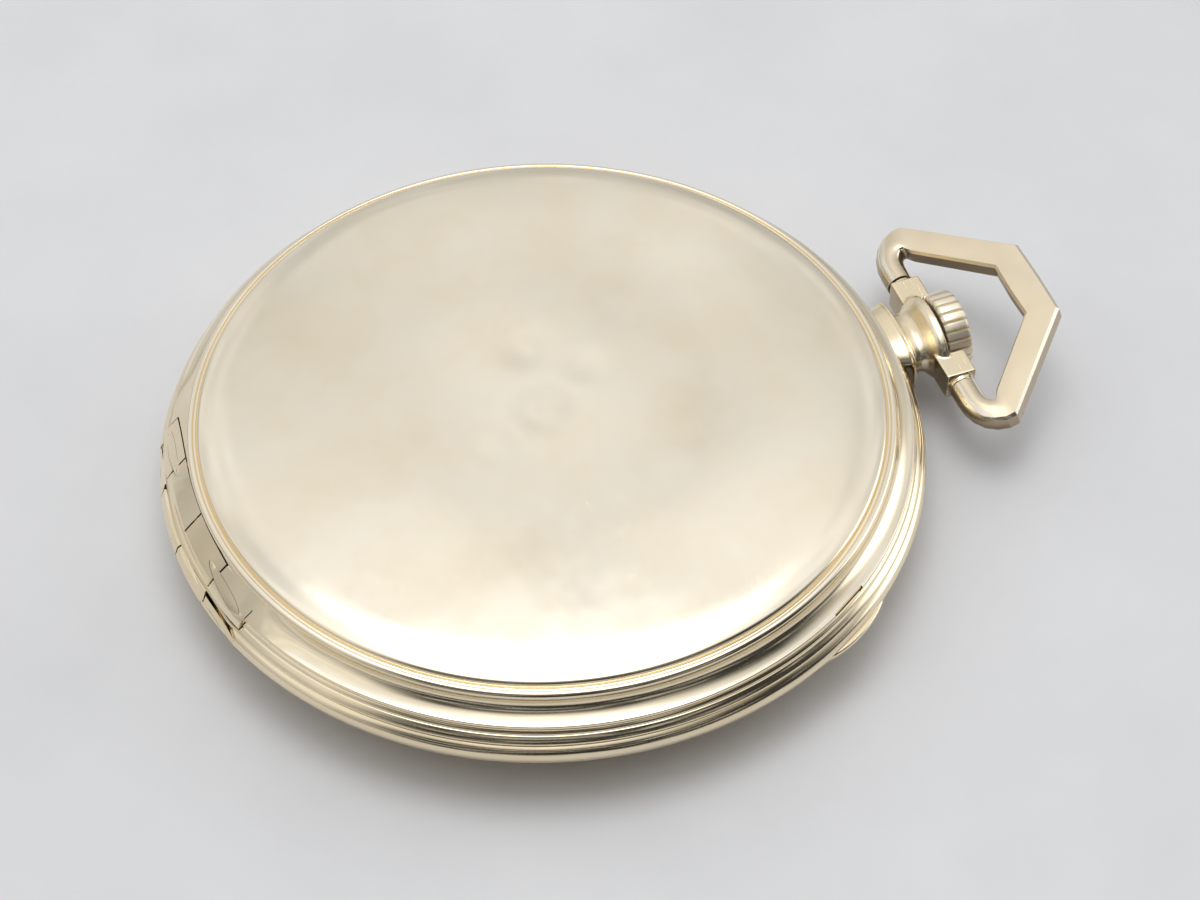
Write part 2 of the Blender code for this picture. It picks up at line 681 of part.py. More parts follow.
# ----------------------------------------------------------------- movement

def mainplate():
    disc = turned("mainplate", [(0, PLATE_TOP), (19.2, PLATE_TOP), (19.8, PLATE_TOP),
                                (19.8, PLATE_Z), (19.0, PLATE_Z), (19.0, 2.46), (18.0, 2.46),
                                (18.0, PLATE_Z), (0, PLATE_Z)], NICKEL, CASE_STEPS)
    cut(disc,
        rod("c", (*BARREL, 3.32), (*BARREL, 6), 7.62, steps=32),
        rod("c", (*BARREL, 2), (*BARREL, 6), 0.75, steps=14),
        rod("c", (*CENTRE, 2), (*CENTRE, 6), 0.9, steps=16),
        rod("c", (*FOURTH, 2), (*FOURTH, 6), 0.32, steps=8),
        rod("c", (*THIRD, 2), (*THIRD, 6), 0.32, steps=8),
        rod("c", (*ESCAPE, 2), (*ESCAPE, 6), 0.32, steps=8),
        rod("c", (*PALLET, 2), (*PALLET, 6), 0.32, steps=8),
        rod("c", (*BALANCE, 2), (*BALANCE, 6), 0.32, steps=8),
        block("c", (-1.45, 13.4, 2), (1.45, 18.0, 6)),
        rod("c", (0, 17, STEM_Z), (0, 21, STEM_Z), 0.62, steps=14))
    join(disc, rod("p", (*MINUTE_WHEEL, 2.5), (*MINUTE_WHEEL, 3.4), 0.22, steps=10))
    for x, y in DIAL_FEET:
        cut(disc, rod("c", (x, y, 2), (x, y, 6), 0.48, steps=10))
    return smooth(disc)


def barrel_pieces():
    x, y = BARREL
    drum = plate("barrel_drum", [teeth(BARREL_TEETH, BARREL_MODULE)], 4.62, 4.98, BRASS)
    join(drum, rod("d", (0, 0, 3.4), (0, 0, 4.8), 7.0, BRASS, 28))
    cut(drum,
        rod("c", (0, 0, 3.62), (0, 0, 6), 6.6, steps=28),
        rod("c", (0, 0, 3), (0, 0, 6), 0.68, steps=14))
    lid = plate("barrel_lid", [circle(0, 0, 6.5, 28), circle(0, 0, 0.66, 14)], 4.78, 4.96, BRASS)
    coils = []
    for i in range(SPRING_POINTS):
        a = math.radians(30.0 * i)
        r = 1.35 + 4.8 * i / (SPRING_POINTS - 1)
        coils.append((r * math.cos(a), r * math.sin(a), 4.2))
    spring = wire("mainspring", coils, 0.13, STEEL)
    arbor = turned("barrel_arbor", [(0, 6.83), (0.5, 6.83), (0.5, 5.7), (0.6, 5.6), (0.6, 4.7),
                                    (1.05, 4.65), (1.05, 3.75), (0.6, 3.7), (0.6, 3.15),
                                    (0, 3.15)], STEEL, 14)
    for obj in (drum, lid, spring, arbor):
        obj.location = (x * MM, y * MM, 0.0)
    return drum, lid, spring, smooth(arbor)


def train_wheel(name, at, wheel, wheel_z, pinion, pinion_z, ends, arbor_r, phases, mat=BRASS):
    """A toothed wheel with spokes, its pinion and its arbor, as one riveted piece."""
    count, module = wheel
    root_r = count * module / 2 - 1.15 * module
    outlines = [teeth(count, module, phases[0])]
    outlines += spokes(root_r - 0.45, 1.25, 5, 0.22, steps=2)
    piece = plate(name, outlines, *wheel_z, mat)
    join(piece, plate("p", [leaves(*pinion, phases[1])], *pinion_z, STEEL))
    join(piece, rod("a", (0, 0, ends[0]), (0, 0, ends[1]), arbor_r, STEEL, 8))
    piece.location = (at[0] * MM, at[1] * MM, 0.0)
    return piece


def going_train():
    centre_leaf = mesh_phase(BARREL_TEETH, 0.0, BARREL, CENTRE_LEAVES, CENTRE)
    third_leaf = mesh_phase(CENTRE_TEETH, 0.0, CENTRE, THIRD_LEAVES, THIRD)
    fourth_leaf = mesh_phase(THIRD_TEETH, 0.0, THIRD, FOURTH_LEAVES, FOURTH)
    escape_leaf = mesh_phase(FOURTH_TEETH, 0.0, FOURTH, ESCAPE_LEAVES, ESCAPE)
    centre = train_wheel("centre_wheel", CENTRE, (CENTRE_TEETH, CENTRE_MODULE), (5.44, 5.6),
                         (CENTRE_LEAVES, BARREL_MODULE), (4.56, 5.2), (1.0, 6.2), 0.35,
                         (0.0, centre_leaf))
    third = train_wheel("third_wheel", THIRD, (THIRD_TEETH, THIRD_MODULE), (4.62, 4.78),
                        (THIRD_LEAVES, CENTRE_MODULE), (5.36, 5.68), (3.3, 6.2), 0.2,
                        (0.0, third_leaf))
    fourth = train_wheel("fourth_wheel", FOURTH, (FOURTH_TEETH, FOURTH_MODULE), (5.12, 5.26),
                         (FOURTH_LEAVES, THIRD_MODULE), (4.5, 4.9), (1.55, 6.2), 0.17,
                         (0.0, fourth_leaf))
    return centre, third, fourth, escape_wheel(escape_leaf)


def escape_wheel(phase):
    outline = []
    for i in range(ESCAPE_TEETH):
        a = 360.0 / ESCAPE_TEETH * i
        for r, off in ((2.0, 0.0), (ESCAPE_R, 5.5), (ESCAPE_R, 8.5), (2.0, 9.5)):
            b = math.radians(a + off)
            outline.append((r * math.cos(b), r * math.sin(b)))
    piece = plate("escape_wheel", [outline] + spokes(1.75, 0.75, 4, 0.16), 4.56, 4.7, STEEL)
    join(piece, plate("p", [leaves(ESCAPE_LEAVES, FOURTH_MODULE, phase)], 5.02, 5.4, STEEL))
    join(piece, rod("a", (0, 0, 3.3), (0, 0, 6.2), 0.17, STEEL, 8))
    piece.location = (ESCAPE[0] * MM, ESCAPE[1] * MM, 0.0)
    return piece


def lever_line():
    return math.atan2(BALANCE[1] - ESCAPE[1], BALANCE[0] - ESCAPE[0])


def pallet_fork():
    """A lever toward the balance with two stones that straddle the escape wheel."""
    outline = [(2.62, 0.34), (2.28, 0.13), (2.28, -0.13), (2.62, -0.34), (2.3, -0.42),
               (1.9, -0.16), (0.45, -0.2), (-0.15, -1.62), (-0.62, -1.78), (-0.78, -1.5),
               (-0.5, -1.35), (-0.4, -0.25), (-0.4, 0.25), (-0.5, 1.35), (-0.78, 1.5),
               (-0.62, 1.78), (-0.15, 1.62), (0.45, 0.2), (1.9, 0.16), (2.3, 0.42)]
    piece = plate("pallet_fork", [outline], 4.54, 4.68, STEEL)
    join(piece, rod("a", (0, 0, 3.3), (0, 0, 5.0), 0.15, STEEL, 10))
    piece.rotation_euler = (0.0, 0.0, lever_line())
    piece.location = (PALLET[0] * MM, PALLET[1] * MM, 0.0)
    return piece


def balance_pieces():
    outlines = [circle(0, 0, 4.6, 24)] + spokes(4.35, 0.9, 3, 0.28, 20.0, 5)
    wheel = plate("balance_wheel", outlines, 5.1, 5.3, BRASS)
    rim = turned("r", [(4.28, 5.5), (4.75, 5.5), (4.75, 5.15), (4.28, 5.15)], BRASS, 30,
                 closed=True)
    join(wheel, rim)
    join(wheel, rod("s", (0, 0, 3.3), (0, 0, 6.2), 0.17, STEEL, 12),
         rod("r", (0, 0, 4.76), (0, 0, 4.96), 1.05, STEEL, 20),
         rod("h", (0, 0, 4.8), (0, 0, 5.25), 0.45, STEEL, 12))
    a = lever_line() + math.pi
    x, y = 0.9 * math.cos(a), 0.9 * math.sin(a)
    join(wheel, rod("j", (x, y, 4.56), (x, y, 4.85), 0.1, RUBY, 8))
    wheel.location = (BALANCE[0] * MM, BALANCE[1] * MM, 0.0)
    coils = []
    for i in range(SPRING_POINTS):
        a = math.radians(30.0 * i)
        r = 0.42 + 1.9 * i / (SPRING_POINTS - 1)
        coils.append((r * math.cos(a), r * math.sin(a), 5.5))
    spring = wire("hairspring", coils, 0.045, BLUED)
    join(spring, turned("c", [(0.2, 5.58), (0.42, 5.58), (0.42, 5.42), (0.2, 5.42)], BRASS, 12,
                        closed=True))
    spring.location = wheel.location
    return wheel, spring


def foot(outline):
    return plate("foot", [outline], PLATE_TOP + 0.03, BRIDGE_Z + 0.2, NICKEL)


def barrel_bridge():
    outline = arc(0, 0, MOVEMENT_R, 8, 186, 20)
    outline += [(-7.2, -2.3), (-1.4, -2.1), (1.3, -1.8), (2.4, -0.6), (5.2, 1.9), (10.0, 2.7)]
    bridge = plate("barrel_bridge", [outline], BRIDGE_Z, BRIDGE_TOP, NICKEL)
    left = arc(0, 0, 18.8, 128, 184, 5) + arc(0, 0, 16.6, 184, 128, 5)
    right = arc(0, 0, 18.8, 12, 66, 5) + arc(0, 0, 16.4, 66, 12, 5)
    join(bridge, foot(left), foot(right))
    cut(bridge,
        rod("c", (*BARREL, 5), (*BARREL, 7), 0.66, steps=14),
        rod("c", (*CENTRE, 5), (*CENTRE, 7), 0.86, steps=16),
        rod("c", (*CROWN_WHEEL, 6.1), (*CROWN_WHEEL, 7), 0.4, steps=10),
        rod("c", (*CLICK, 6.1), (*CLICK, 7), 0.34, steps=10),
        rod("c", (*CASE_SCREWS[0], 5), (*CASE_SCREWS[0], 7), 1.15, steps=14))
    for x, y in SCREW_PLACES["barrel_bridge_screw"]:
        cut(bridge, rod("c", (x, y, 3), (x, y, 6.0), 0.5, steps=10),
            rod("c", (x, y, 6.0), (x, y, 7), 1.0, steps=10))
    return smooth(bridge)


def train_bridge():
    outline = arc(0, 0, MOVEMENT_R, 190, 290, 11)
    outline += [(6.0, -12.2), (6.35, -8.6), (5.4, -6.75), (4.0, -6.5), (2.2, -5.9), (1.0, -3.5),
                (-6.6, -3.3)]
    bridge = plate("train_bridge", [outline], BRIDGE_Z, BRIDGE_TOP, NICKEL)
    heel = arc(0, 0, 18.8, 196, 286, 8) + arc(0, 0, 16.2, 286, 196, 8)
    join(bridge, foot(heel))
    for at in (THIRD, FOURTH, ESCAPE):
        cut(bridge, rod("c", (*at, 5), (*at, 7), 0.76, steps=10))
    for x, y in SCREW_PLACES["train_bridge_screw"]:
        cut(bridge, rod("c", (x, y, 3), (x, y, 6.0), 0.5, steps=10),
            rod("c", (x, y, 6.0), (x, y, 7), 1.0, steps=10))
    return smooth(bridge)


def balance_cock():
    outline = arc(0, 0, MOVEMENT_R, -47, -8, 8)
    outline += [(16.6, -1.9), (13.2, -2.6)]
    outline += arc(*BALANCE, 2.0, 35, 305, 10)
    outline += [(13.0, -7.4), (12.4, -13.2)]
    cock = plate("balance_cock", [outline], BRIDGE_Z, BRIDGE_TOP, NICKEL)
    heel = arc(0, 0, 18.8, -42, -9, 4) + arc(0, 0, 16.4, -9, -42, 4)
    join(cock, foot(heel))
    cut(cock, rod("c", (*BALANCE, 5), (*BALANCE, 7), 0.76, steps=10))
    for x, y in SCREW_PLACES["balance_cock_screw"]:
        cut(cock, rod("c", (x, y, 3), (x, y, 6.0), 0.5, steps=10),
            rod("c", (x, y, 6.0), (x, y, 7), 1.0, steps=10))
    return smooth(cock)


def pallet_cock():
    ux, uy = math.cos(lever_line()), math.sin(lever_line())
    across = (uy, -ux)
    x, y = PALLET
    outline = []
    for along, side in ((0.55, -0.6), (0.75, 0.3), (0.7, 3.3), (-1.3, 3.9), (-1.5, 2.6),
                        (-0.6, 0.4), (-0.45, -0.6)):
        outline.append((x + along * ux + side * across[0], y + along * uy + side * across[1]))
    cock = plate("pallet_cock", [outline], 4.82, 5.0, NICKEL)
    low = [(x + a * ux + s * across[0], y + a * uy + s * across[1])
           for a, s in ((0.6, 2.45), (0.65, 3.25), (-1.25, 3.8), (-1.35, 2.6))]
    join(cock, plate("f", [low], PLATE_TOP + 0.03, 4.9, NICKEL))
    cut(cock, rod("c", (x, y, 4.5), (x, y, 5.5), 0.2, steps=10))
    return cock


def regulator():
    outline = arc(0, 0, 1.35, -70, 250, 12) + [(-0.35, -3.6), (0.1, -3.8)]
    arm = plate("regulator", [outline, circle(0, 0, 1.0, 14)], WHEEL_Z, WHEEL_Z + 0.16, STEEL)
    arm.rotation_euler = (0.0, 0.0, math.radians(62))
    arm.location = (BALANCE[0] * MM, BALANCE[1] * MM, 0.0)
    return arm


def jewels():
    out = []
    for name, at, hole in (("centre_jewel", CENTRE, 0.42), ("third_jewel", THIRD, 0.26),
                           ("fourth_jewel", FOURTH, 0.26), ("escape_jewel", ESCAPE, 0.26),
                           ("balance_jewel", BALANCE, 0.26)):
        outer = 0.82 if name == "centre_jewel" else 0.7
        stone = turned(name, [(hole, 6.3), (outer, 6.42), (outer, 5.82), (hole, 5.82)], RUBY, 10,
                       closed=True)
        stone.location = (at[0] * MM, at[1] * MM, 0.0)
        out.append(smooth(stone))
    return out


def winding_wheels():
    phase = mesh_phase(RATCHET_TEETH, 0.0, BARREL, CROWN_WHEEL_TEETH, CROWN_WHEEL)
    ratchet = plate("ratchet_wheel", [teeth(RATCHET_TEETH, WINDING_MODULE), circle(0, 0, 0.56, 10)],
                    WHEEL_Z, WHEEL_TOP, STEEL)
    ratchet.location = (BARREL[0] * MM, BARREL[1] * MM, 0.0)
    wheel = plate("crown_wheel",
                  [teeth(CROWN_WHEEL_TEETH, WINDING_MODULE, phase), circle(0, 0, 0.62, 12)],
                  WHEEL_Z, WHEEL_TOP, STEEL)
    wheel.location = (CROWN_WHEEL[0] * MM, CROWN_WHEEL[1] * MM, 0.0)
    return ratchet, wheel


def click_pieces():
    line = math.atan2(BARREL[1] - CLICK[1], BARREL[0] - CLICK[0])
    tip = math.hypot(BARREL[0] - CLICK[0], BARREL[1] - CLICK[1]) - RATCHET_TEETH * 0.1 - 0.22
    outline = arc(0, 0, 0.95, 60, 300, 10) + [(tip * 0.7, -0.75), (tip, -0.1), (tip * 0.75, 0.5)]
    click = plate("click", [outline, circle(0, 0, 0.42, 12)], WHEEL_Z, WHEEL_TOP - 0.03, STEEL)
    click.rotation_euler = (0.0, 0.0, line)
    click.location = (CLICK[0] * MM, CLICK[1] * MM, 0.0)
    points = []
    for i in range(13):
        a = math.radians(150 + 118 * i / 12)
        points.append((CLICK[0] + 1.75 * math.cos(a), CLICK[1] + 1.75 * math.sin(a), 6.66))
    spring = wire("click_spring", points, 0.1, STEEL)
    return click, spring


def screw(name, x, y, head_r, head_low, head_high, tail_low, tail_r=0.4, turn=25.0):
    """A slotted screw with a flat head."""
    piece = turned(name, [(0, head_high), (head_r - 0.06, head_high), (head_r, head_high - 0.06),
                          (head_r, head_low), (tail_r, head_low), (tail_r, tail_low),
                          (0, tail_low)], BLUED if head_low >= 6.0 else STEEL, 10)
    slot = block("c", (-2, -0.11, head_high - 0.16), (2, 0.11, head_high + 1))
    slot.data.transform(Matrix.Rotation(math.radians(turn), 4, "Z"))
    cut(piece, slot)
    piece.location = (x * MM, y * MM, 0.0)
    return smooth(piece)


def screws():
    out = []
    for base, places in SCREW_PLACES.items():
        for i, (x, y) in enumerate(places):
            name = base if len(places) == 1 else f"{base}_{i + 1}"
            out.append(screw(name, x, y, 0.92, 6.04, 6.5, PLATE_TOP + 0.05, 0.42, 40.0 * i + 20))
    out.append(screw("ratchet_screw", *BARREL, 1.15, 6.9, 7.15, 6.86, 0.4, 70))
    out.append(screw("crown_wheel_screw", *CROWN_WHEEL, 1.3, 6.9, 7.15, 6.15, 0.36, 10))
    out.append(screw("click_screw", *CLICK, 0.85, 6.87, 7.1, 6.15, 0.3, 110))
    for i, (x, y) in enumerate(CASE_SCREWS):
        out.append(screw(f"case_screw_{i + 1}", x, y, 1.0, 5.62, 5.9, PLATE_TOP + 0.05, 0.32, 75))
    return out


back_cover()
case_middle()
bezel()
crystal()
hinge_pins()
pendant()
pendant_sleeve()
bow()
crown()
stem()
winding_pieces()
dial()
hands()
motion_work()
mainplate()
barrel_pieces()
going_train()
pallet_fork()
balance_pieces()
barrel_bridge()
train_bridge()
balance_cock()
pallet_cock()
regulator()
jewels()
winding_wheels()
click_pieces()
screws()
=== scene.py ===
"""Looks of the open face pocket watch, built round its CAD frame.

Lengths are in millimetres and angles in degrees, up to the meshes themselves, which are in metres.
The watch lies on its crystal with its back up: +Y runs to the pendant and +Z out of the back.
"""

import json
import math

import bmesh
import bpy
from mathutils import Matrix, Vector, noise

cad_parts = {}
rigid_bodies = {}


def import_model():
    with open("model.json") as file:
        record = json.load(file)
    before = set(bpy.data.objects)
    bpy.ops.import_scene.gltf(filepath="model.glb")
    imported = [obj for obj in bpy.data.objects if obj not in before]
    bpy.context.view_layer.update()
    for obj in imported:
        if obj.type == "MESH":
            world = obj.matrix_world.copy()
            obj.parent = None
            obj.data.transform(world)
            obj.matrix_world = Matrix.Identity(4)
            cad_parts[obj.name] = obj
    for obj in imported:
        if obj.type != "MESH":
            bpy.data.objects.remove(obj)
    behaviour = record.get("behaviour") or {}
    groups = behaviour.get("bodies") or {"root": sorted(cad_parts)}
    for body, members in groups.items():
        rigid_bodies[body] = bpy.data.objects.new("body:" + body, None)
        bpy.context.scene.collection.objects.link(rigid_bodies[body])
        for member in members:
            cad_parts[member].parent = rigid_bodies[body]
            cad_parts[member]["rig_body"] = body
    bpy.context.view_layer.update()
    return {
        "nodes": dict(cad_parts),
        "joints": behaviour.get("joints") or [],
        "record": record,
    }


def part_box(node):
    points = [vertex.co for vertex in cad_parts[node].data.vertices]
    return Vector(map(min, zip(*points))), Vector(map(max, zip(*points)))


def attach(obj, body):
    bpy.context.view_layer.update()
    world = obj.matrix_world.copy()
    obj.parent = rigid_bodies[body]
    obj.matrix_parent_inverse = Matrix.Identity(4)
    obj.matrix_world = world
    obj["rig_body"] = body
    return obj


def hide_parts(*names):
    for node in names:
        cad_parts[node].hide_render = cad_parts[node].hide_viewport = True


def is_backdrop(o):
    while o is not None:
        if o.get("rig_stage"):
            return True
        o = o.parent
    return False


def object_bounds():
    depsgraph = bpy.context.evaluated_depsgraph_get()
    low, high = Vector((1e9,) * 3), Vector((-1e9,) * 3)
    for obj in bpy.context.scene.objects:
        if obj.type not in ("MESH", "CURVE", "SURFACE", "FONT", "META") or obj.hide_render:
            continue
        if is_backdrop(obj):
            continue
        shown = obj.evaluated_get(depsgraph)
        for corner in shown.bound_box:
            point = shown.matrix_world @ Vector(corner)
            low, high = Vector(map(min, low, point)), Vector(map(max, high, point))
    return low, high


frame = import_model()

MM = 0.001
FINE = 256  # steps round the case
CLIP_STEPS = 192
JOINTS = {joint["name"]: joint for joint in frame["joints"]}


def joint_at(name):
    """A joint's place, in millimetres."""
    return [value / MM for value in JOINTS[name]["pos_m"]]


def high(node):
    """A node's highest corner, in millimetres."""
    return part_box(node)[1] / MM


CASE_R = high("case_middle").x + 0.34  # to the bezel's edge, which stands out past the band
COVER_TOP = high("back_cover").z
COVER_AXIS = joint_at("back_cover_hinge")[1:]
BEZEL_AXIS = joint_at("bezel_hinge")[1:]
COVER_KNUCKLE_R, COVER_PIN_R = 0.95, 0.34
BEZEL_KNUCKLE_R, BEZEL_PIN_R = 0.75, 0.26
PIN_PLAY = 0.02
KNUCKLE_ENDS = (-7.6, -4.0, 0.4, 4.4, 7.6)  # along the hinge, from one end to the other
HINGE_HALF = KNUCKLE_ENDS[-1]
GAP = 0.06  # between a knuckle and its neighbour
LIP_ANGLE = 58.0  # of the thumb notch and lip, clockwise from the pendant as the back is seen
BOW_AT = joint_at("bow_swing")
STEM_Z = BOW_AT[2]
BOW_TILT = 18.0  # degrees up from lying flat, at rest
CROWN_R, CROWN_TALL = 2.52, 1.98
CROWN_FLUTES = 26


# ------------------------------------------------------------------ meshes

def new_piece(name, mesh):
    obj = bpy.data.objects.new(name, mesh)
    bpy.context.scene.collection.objects.link(obj)
    return obj


def from_bmesh(name, work):
    mesh = bpy.data.meshes.new(name)
    bmesh.ops.recalc_face_normals(work, faces=work.faces)
    work.to_mesh(mesh)
    work.free()
    return new_piece(name, mesh)


def baked(obj):
    """Apply the object's modifiers and its place."""
    bpy.context.view_layer.update()
    graph = bpy.context.evaluated_depsgraph_get()
    mesh = bpy.data.meshes.new_from_object(obj.evaluated_get(graph))
    mesh.transform(obj.matrix_world)
    obj.modifiers.clear()
    obj.data = mesh
    obj.matrix_world = Matrix.Identity(4)
    return obj


def smooth(obj, angle=32.0):
    obj.data.shade_smooth()
    obj.data.set_sharp_from_angle(angle=math.radians(angle))
    return obj


def rounded(points, steps=4):
    """A profile of (x, y) or (x, y, radius) points with its corners rounded."""
    out = []
    for i, point in enumerate(points):
        here = Vector(point[:2])
        radius = point[2] if len(point) > 2 else 0.0
        if radius == 0.0 or i in (0, len(points) - 1):
            out.append(tuple(here))
            continue
        before, after = Vector(points[i - 1][:2]), Vector(points[i + 1][:2])
        back, on = before - here, after - here
        start = here + back.normalized() * min(radius, back.length * 0.48)
        end = here + on.normalized() * min(radius, on.length * 0.48)
        for k in range(steps + 1):
            t = k / steps
            mixed = start * (1 - t) ** 2 + here * (2 * t * (1 - t)) + end * t ** 2
            out.append(tuple(mixed))
    return out


def bend(start, middle, end, steps=8):
    """A smooth run from start to end that leans toward middle."""
    a, b, c = Vector(start), Vector(middle), Vector(end)
    out = []
    for k in range(steps + 1):
        t = k / steps
        out.append(tuple(a * (1 - t) ** 2 + b * (2 * t * (1 - t)) + c * t ** 2))
    return out


def turned(name, profile, steps=FINE, closed=False):
    """A profile of (r, z) points turned about Z."""
    work = bmesh.new()
    rings = []
    for r, z in profile:
        if r < 1e-6:
            rings.append([work.verts.new((0.0, 0.0, z * MM))] * steps)
            continue
        ring = []
        for k in range(steps):
            a = 2 * math.pi * k / steps
            ring.append(work.verts.new((r * math.cos(a) * MM, r * math.sin(a) * MM, z * MM)))
        rings.append(ring)
    pairs = list(zip(rings, rings[1:]))
    if closed:
        pairs.append((rings[-1], rings[0]))
    for upper, lower in pairs:
        for k in range(steps):
            corners = (upper[k], upper[(k + 1) % steps], lower[(k + 1) % steps], lower[k])
            unique = list(dict.fromkeys(corners))
            if len(unique) > 2:
                work.faces.new(unique)
    return from_bmesh(name, work)


def lofted(name, rings):
    """Closed sections of points joined one to the next, with both ends filled."""
    work = bmesh.new()
    made = [[work.verts.new(Vector(point) * MM) for point in ring] for ring in rings]
    for a, b in zip(made, made[1:]):
        for k in range(len(a)):
            n = (k + 1) % len(a)
            work.faces.new((a[k], a[n], b[n], b[k]))
    work.faces.new(made[0])
    work.faces.new(made[-1])
    return from_bmesh(name, work)


def rod(start, end, radius, steps=48):
    """A round bar from start to end."""
    a, b = Vector(start) * MM, Vector(end) * MM
    work = bmesh.new()
    turn = (b - a).to_track_quat("Z", "Y").to_matrix().to_4x4()
    place = Matrix.Translation((a + b) / 2) @ turn
    bmesh.ops.create_cone(work, cap_ends=True, segments=steps, radius1=radius * MM,
                          radius2=radius * MM, depth=(b - a).length, matrix=place)
    return from_bmesh("rod", work)


def block(low, high_corner, turn=0.0):
    """A box between two corners, then turned about Z."""
    work = bmesh.new()
    bmesh.ops.create_cube(work, size=1.0)
    size = [(b - a) * MM for a, b in zip(low, high_corner)]
    middle = [(b + a) / 2 * MM for a, b in zip(low, high_corner)]
    bmesh.ops.scale(work, verts=work.verts, vec=Vector(size))
    bmesh.ops.translate(work, verts=work.verts, vec=Vector(middle))
    bmesh.ops.rotate(work, verts=work.verts, matrix=Matrix.Rotation(math.radians(turn), 3, "Z"))
    return from_bmesh("block", work)


def combine(target, tools, operation):
    """One Boolean after another on target, which uses up the tools."""
    for tool in tools:
        modifier = target.modifiers.new("boolean", "BOOLEAN")
        modifier.operation = operation
        modifier.solver = "EXACT"
        modifier.object = tool
        baked(target)
        bpy.data.objects.remove(tool)
    return target


def cut(target, *tools):
    return combine(target, tools, "DIFFERENCE")


def join(target, *tools):
    return combine(target, tools, "UNION")


def lay_along_y(obj, y):
    """Turn a piece built along Z to point along the stem, with its base at y."""
    obj.rotation_euler = (math.radians(-90), 0.0, 0.0)
    obj.location = (0.0, y * MM, STEM_Z * MM)
    return baked(obj)


# --------------------------------------------------------------- materials

class Nodes:
    """Short calls that add nodes to a tree. A value is a number or another node's output."""

    easing = "LINEAR"

    def __init__(self, tree):
        self.tree = tree

    def add(self, kind, output, values, **settings):
        """Add a node with these values and settings, and return its named output."""
        node = self.tree.nodes.new("ShaderNode" + kind)
        for key, setting in settings.items():
            setattr(node, key, setting)
        for key, value in values.items():
            self.feed(node.inputs[key], value)
        return node.outputs[output]

    def feed(self, slot, value):
        if isinstance(value, bpy.types.NodeSocket):
            self.tree.links.new(value, slot)
        else:
            slot.default_value = value

    def maths(self, operation, a, b=0.0):
        return self.add("Math", "Value", {0: a, 1: b}, operation=operation)

    def spread(self, value, low, high_value, to_low=0.0, to_high=1.0):
        """Stretch the range low..high to to_low..to_high, and clamp it."""
        values = {"Value": value, "From Min": low, "From Max": high_value,
                  "To Min": to_low, "To Max": to_high}
        return self.add("MapRange", "Result", values, interpolation_type=self.easing)


class Shader(Nodes):
    """A Principled material. Its coordinates are in millimetres."""

    def __init__(self, name, colour, rough, metal):
        self.material = bpy.data.materials.new(name)
        self.material.use_nodes = True
        super().__init__(self.material.node_tree)
        self.bsdf = self.tree.nodes["Principled BSDF"]
        self.material.diffuse_color = (*colour, 1.0)
        self.bsdf.inputs["Base Color"].default_value = (*colour, 1.0)
        self.bsdf.inputs["Roughness"].default_value = rough
        self.bsdf.inputs["Metallic"].default_value = metal
        self.point = self.mapped(self.add("TexCoord", "Object", {}), (1 / MM,) * 3)

    def mapped(self, vector, scale=(1.0, 1.0, 1.0), turn=(0.0, 0.0, 0.0)):
        values = {"Vector": vector, "Scale": scale, "Rotation": [math.radians(a) for a in turn]}
        return self.add("Mapping", "Vector", values)

    def noise(self, size, detail=3.0, vector=None, rough=0.55):
        """Noise between 0 and 1, with blotches of about this size."""
        values = {"Vector": vector or self.point, "Scale": 1.0 / size, "Detail": detail,
                  "Roughness": rough}
        return self.add("TexNoise", "Fac", values)

    def bands(self, width):
        """Straight stripes of about this width on the diagonal, fading between 0 and 1."""
        values = {"Vector": self.point, "Scale": 0.314 / width}
        return self.add("TexWave", "Fac", values, bands_direction="DIAGONAL")

    def cells(self, size):
        """The distance to the nearest of many scattered points, in cells of this size."""
        return self.add("TexVoronoi", "Distance", {"Vector": self.point, "Scale": 1.0 / size})

    def rings(self, pitch):
        """Noise that changes only with the distance from Z, about once in each pitch."""
        x, y = (self.add("SeparateXYZ", axis, {"Vector": self.point}) for axis in "XY")
        reach = self.maths("SQRT", self.maths("ADD", self.maths("MULTIPLY", x, x),
                                              self.maths("MULTIPLY", y, y)))
        place = self.add("CombineXYZ", "Vector", {"Z": self.maths("MULTIPLY", reach, 1 / pitch)})
        return self.noise(1.0, 2.0, place)

    def facing_up(self):
        """1 where the skin faces +Z, 0 on a wall and -1 underneath."""
        return self.add("SeparateXYZ", "Z", {"Vector": self.add("TexCoord", "Normal", {})})

    def mixed(self, factor, a, b):
        """Colour a where factor is 0 and b where it is 1."""
        node = self.tree.nodes.new("ShaderNodeMix")
        node.data_type = "RGBA"
        self.feed(node.inputs["Factor"], factor)
        for key, value in (("A", a), ("B", b)):
            slot = next(s for s in node.inputs if s.name == key and s.type == "RGBA")
            self.feed(slot, (*value, 1.0) if isinstance(value, tuple) else value)
        return next(s for s in node.outputs if s.type == "RGBA")

    def colour(self, value):
        self.feed(self.bsdf.inputs["Base Color"], value)

    def roughness(self, value):
        self.feed(self.bsdf.inputs["Roughness"], value)

    def bump(self, height, depth):
        """Add a height map, whose range 0..1 is this deep in millimetres."""
        slot = self.bsdf.inputs["Normal"]
        values = {"Strength": 1.0, "Distance": depth * MM, "Height": height}
        if slot.is_linked:
            values["Normal"] = slot.links[0].from_socket
        self.feed(slot, self.add("Bump", "Normal", values))


def scratches(shader, turns, width=0.02, length=3.0, share=0.72):
    """Hairlines in several directions and in patches: 0 on plain metal and 1 on a line."""
    total = None
    patch = shader.spread(shader.noise(3.0, 2.0), 0.45, 0.7)
    for turn in turns:
        stretched = shader.mapped(shader.point, (1 / length, 1 / width, 1 / width), (0, 0, turn))
        lines = shader.spread(shader.noise(1.0, 1.0, stretched), share, share + 0.06)
        total = lines if total is None else shader.maths("MAXIMUM", total, lines)
    return shader.maths("MULTIPLY", total, patch)


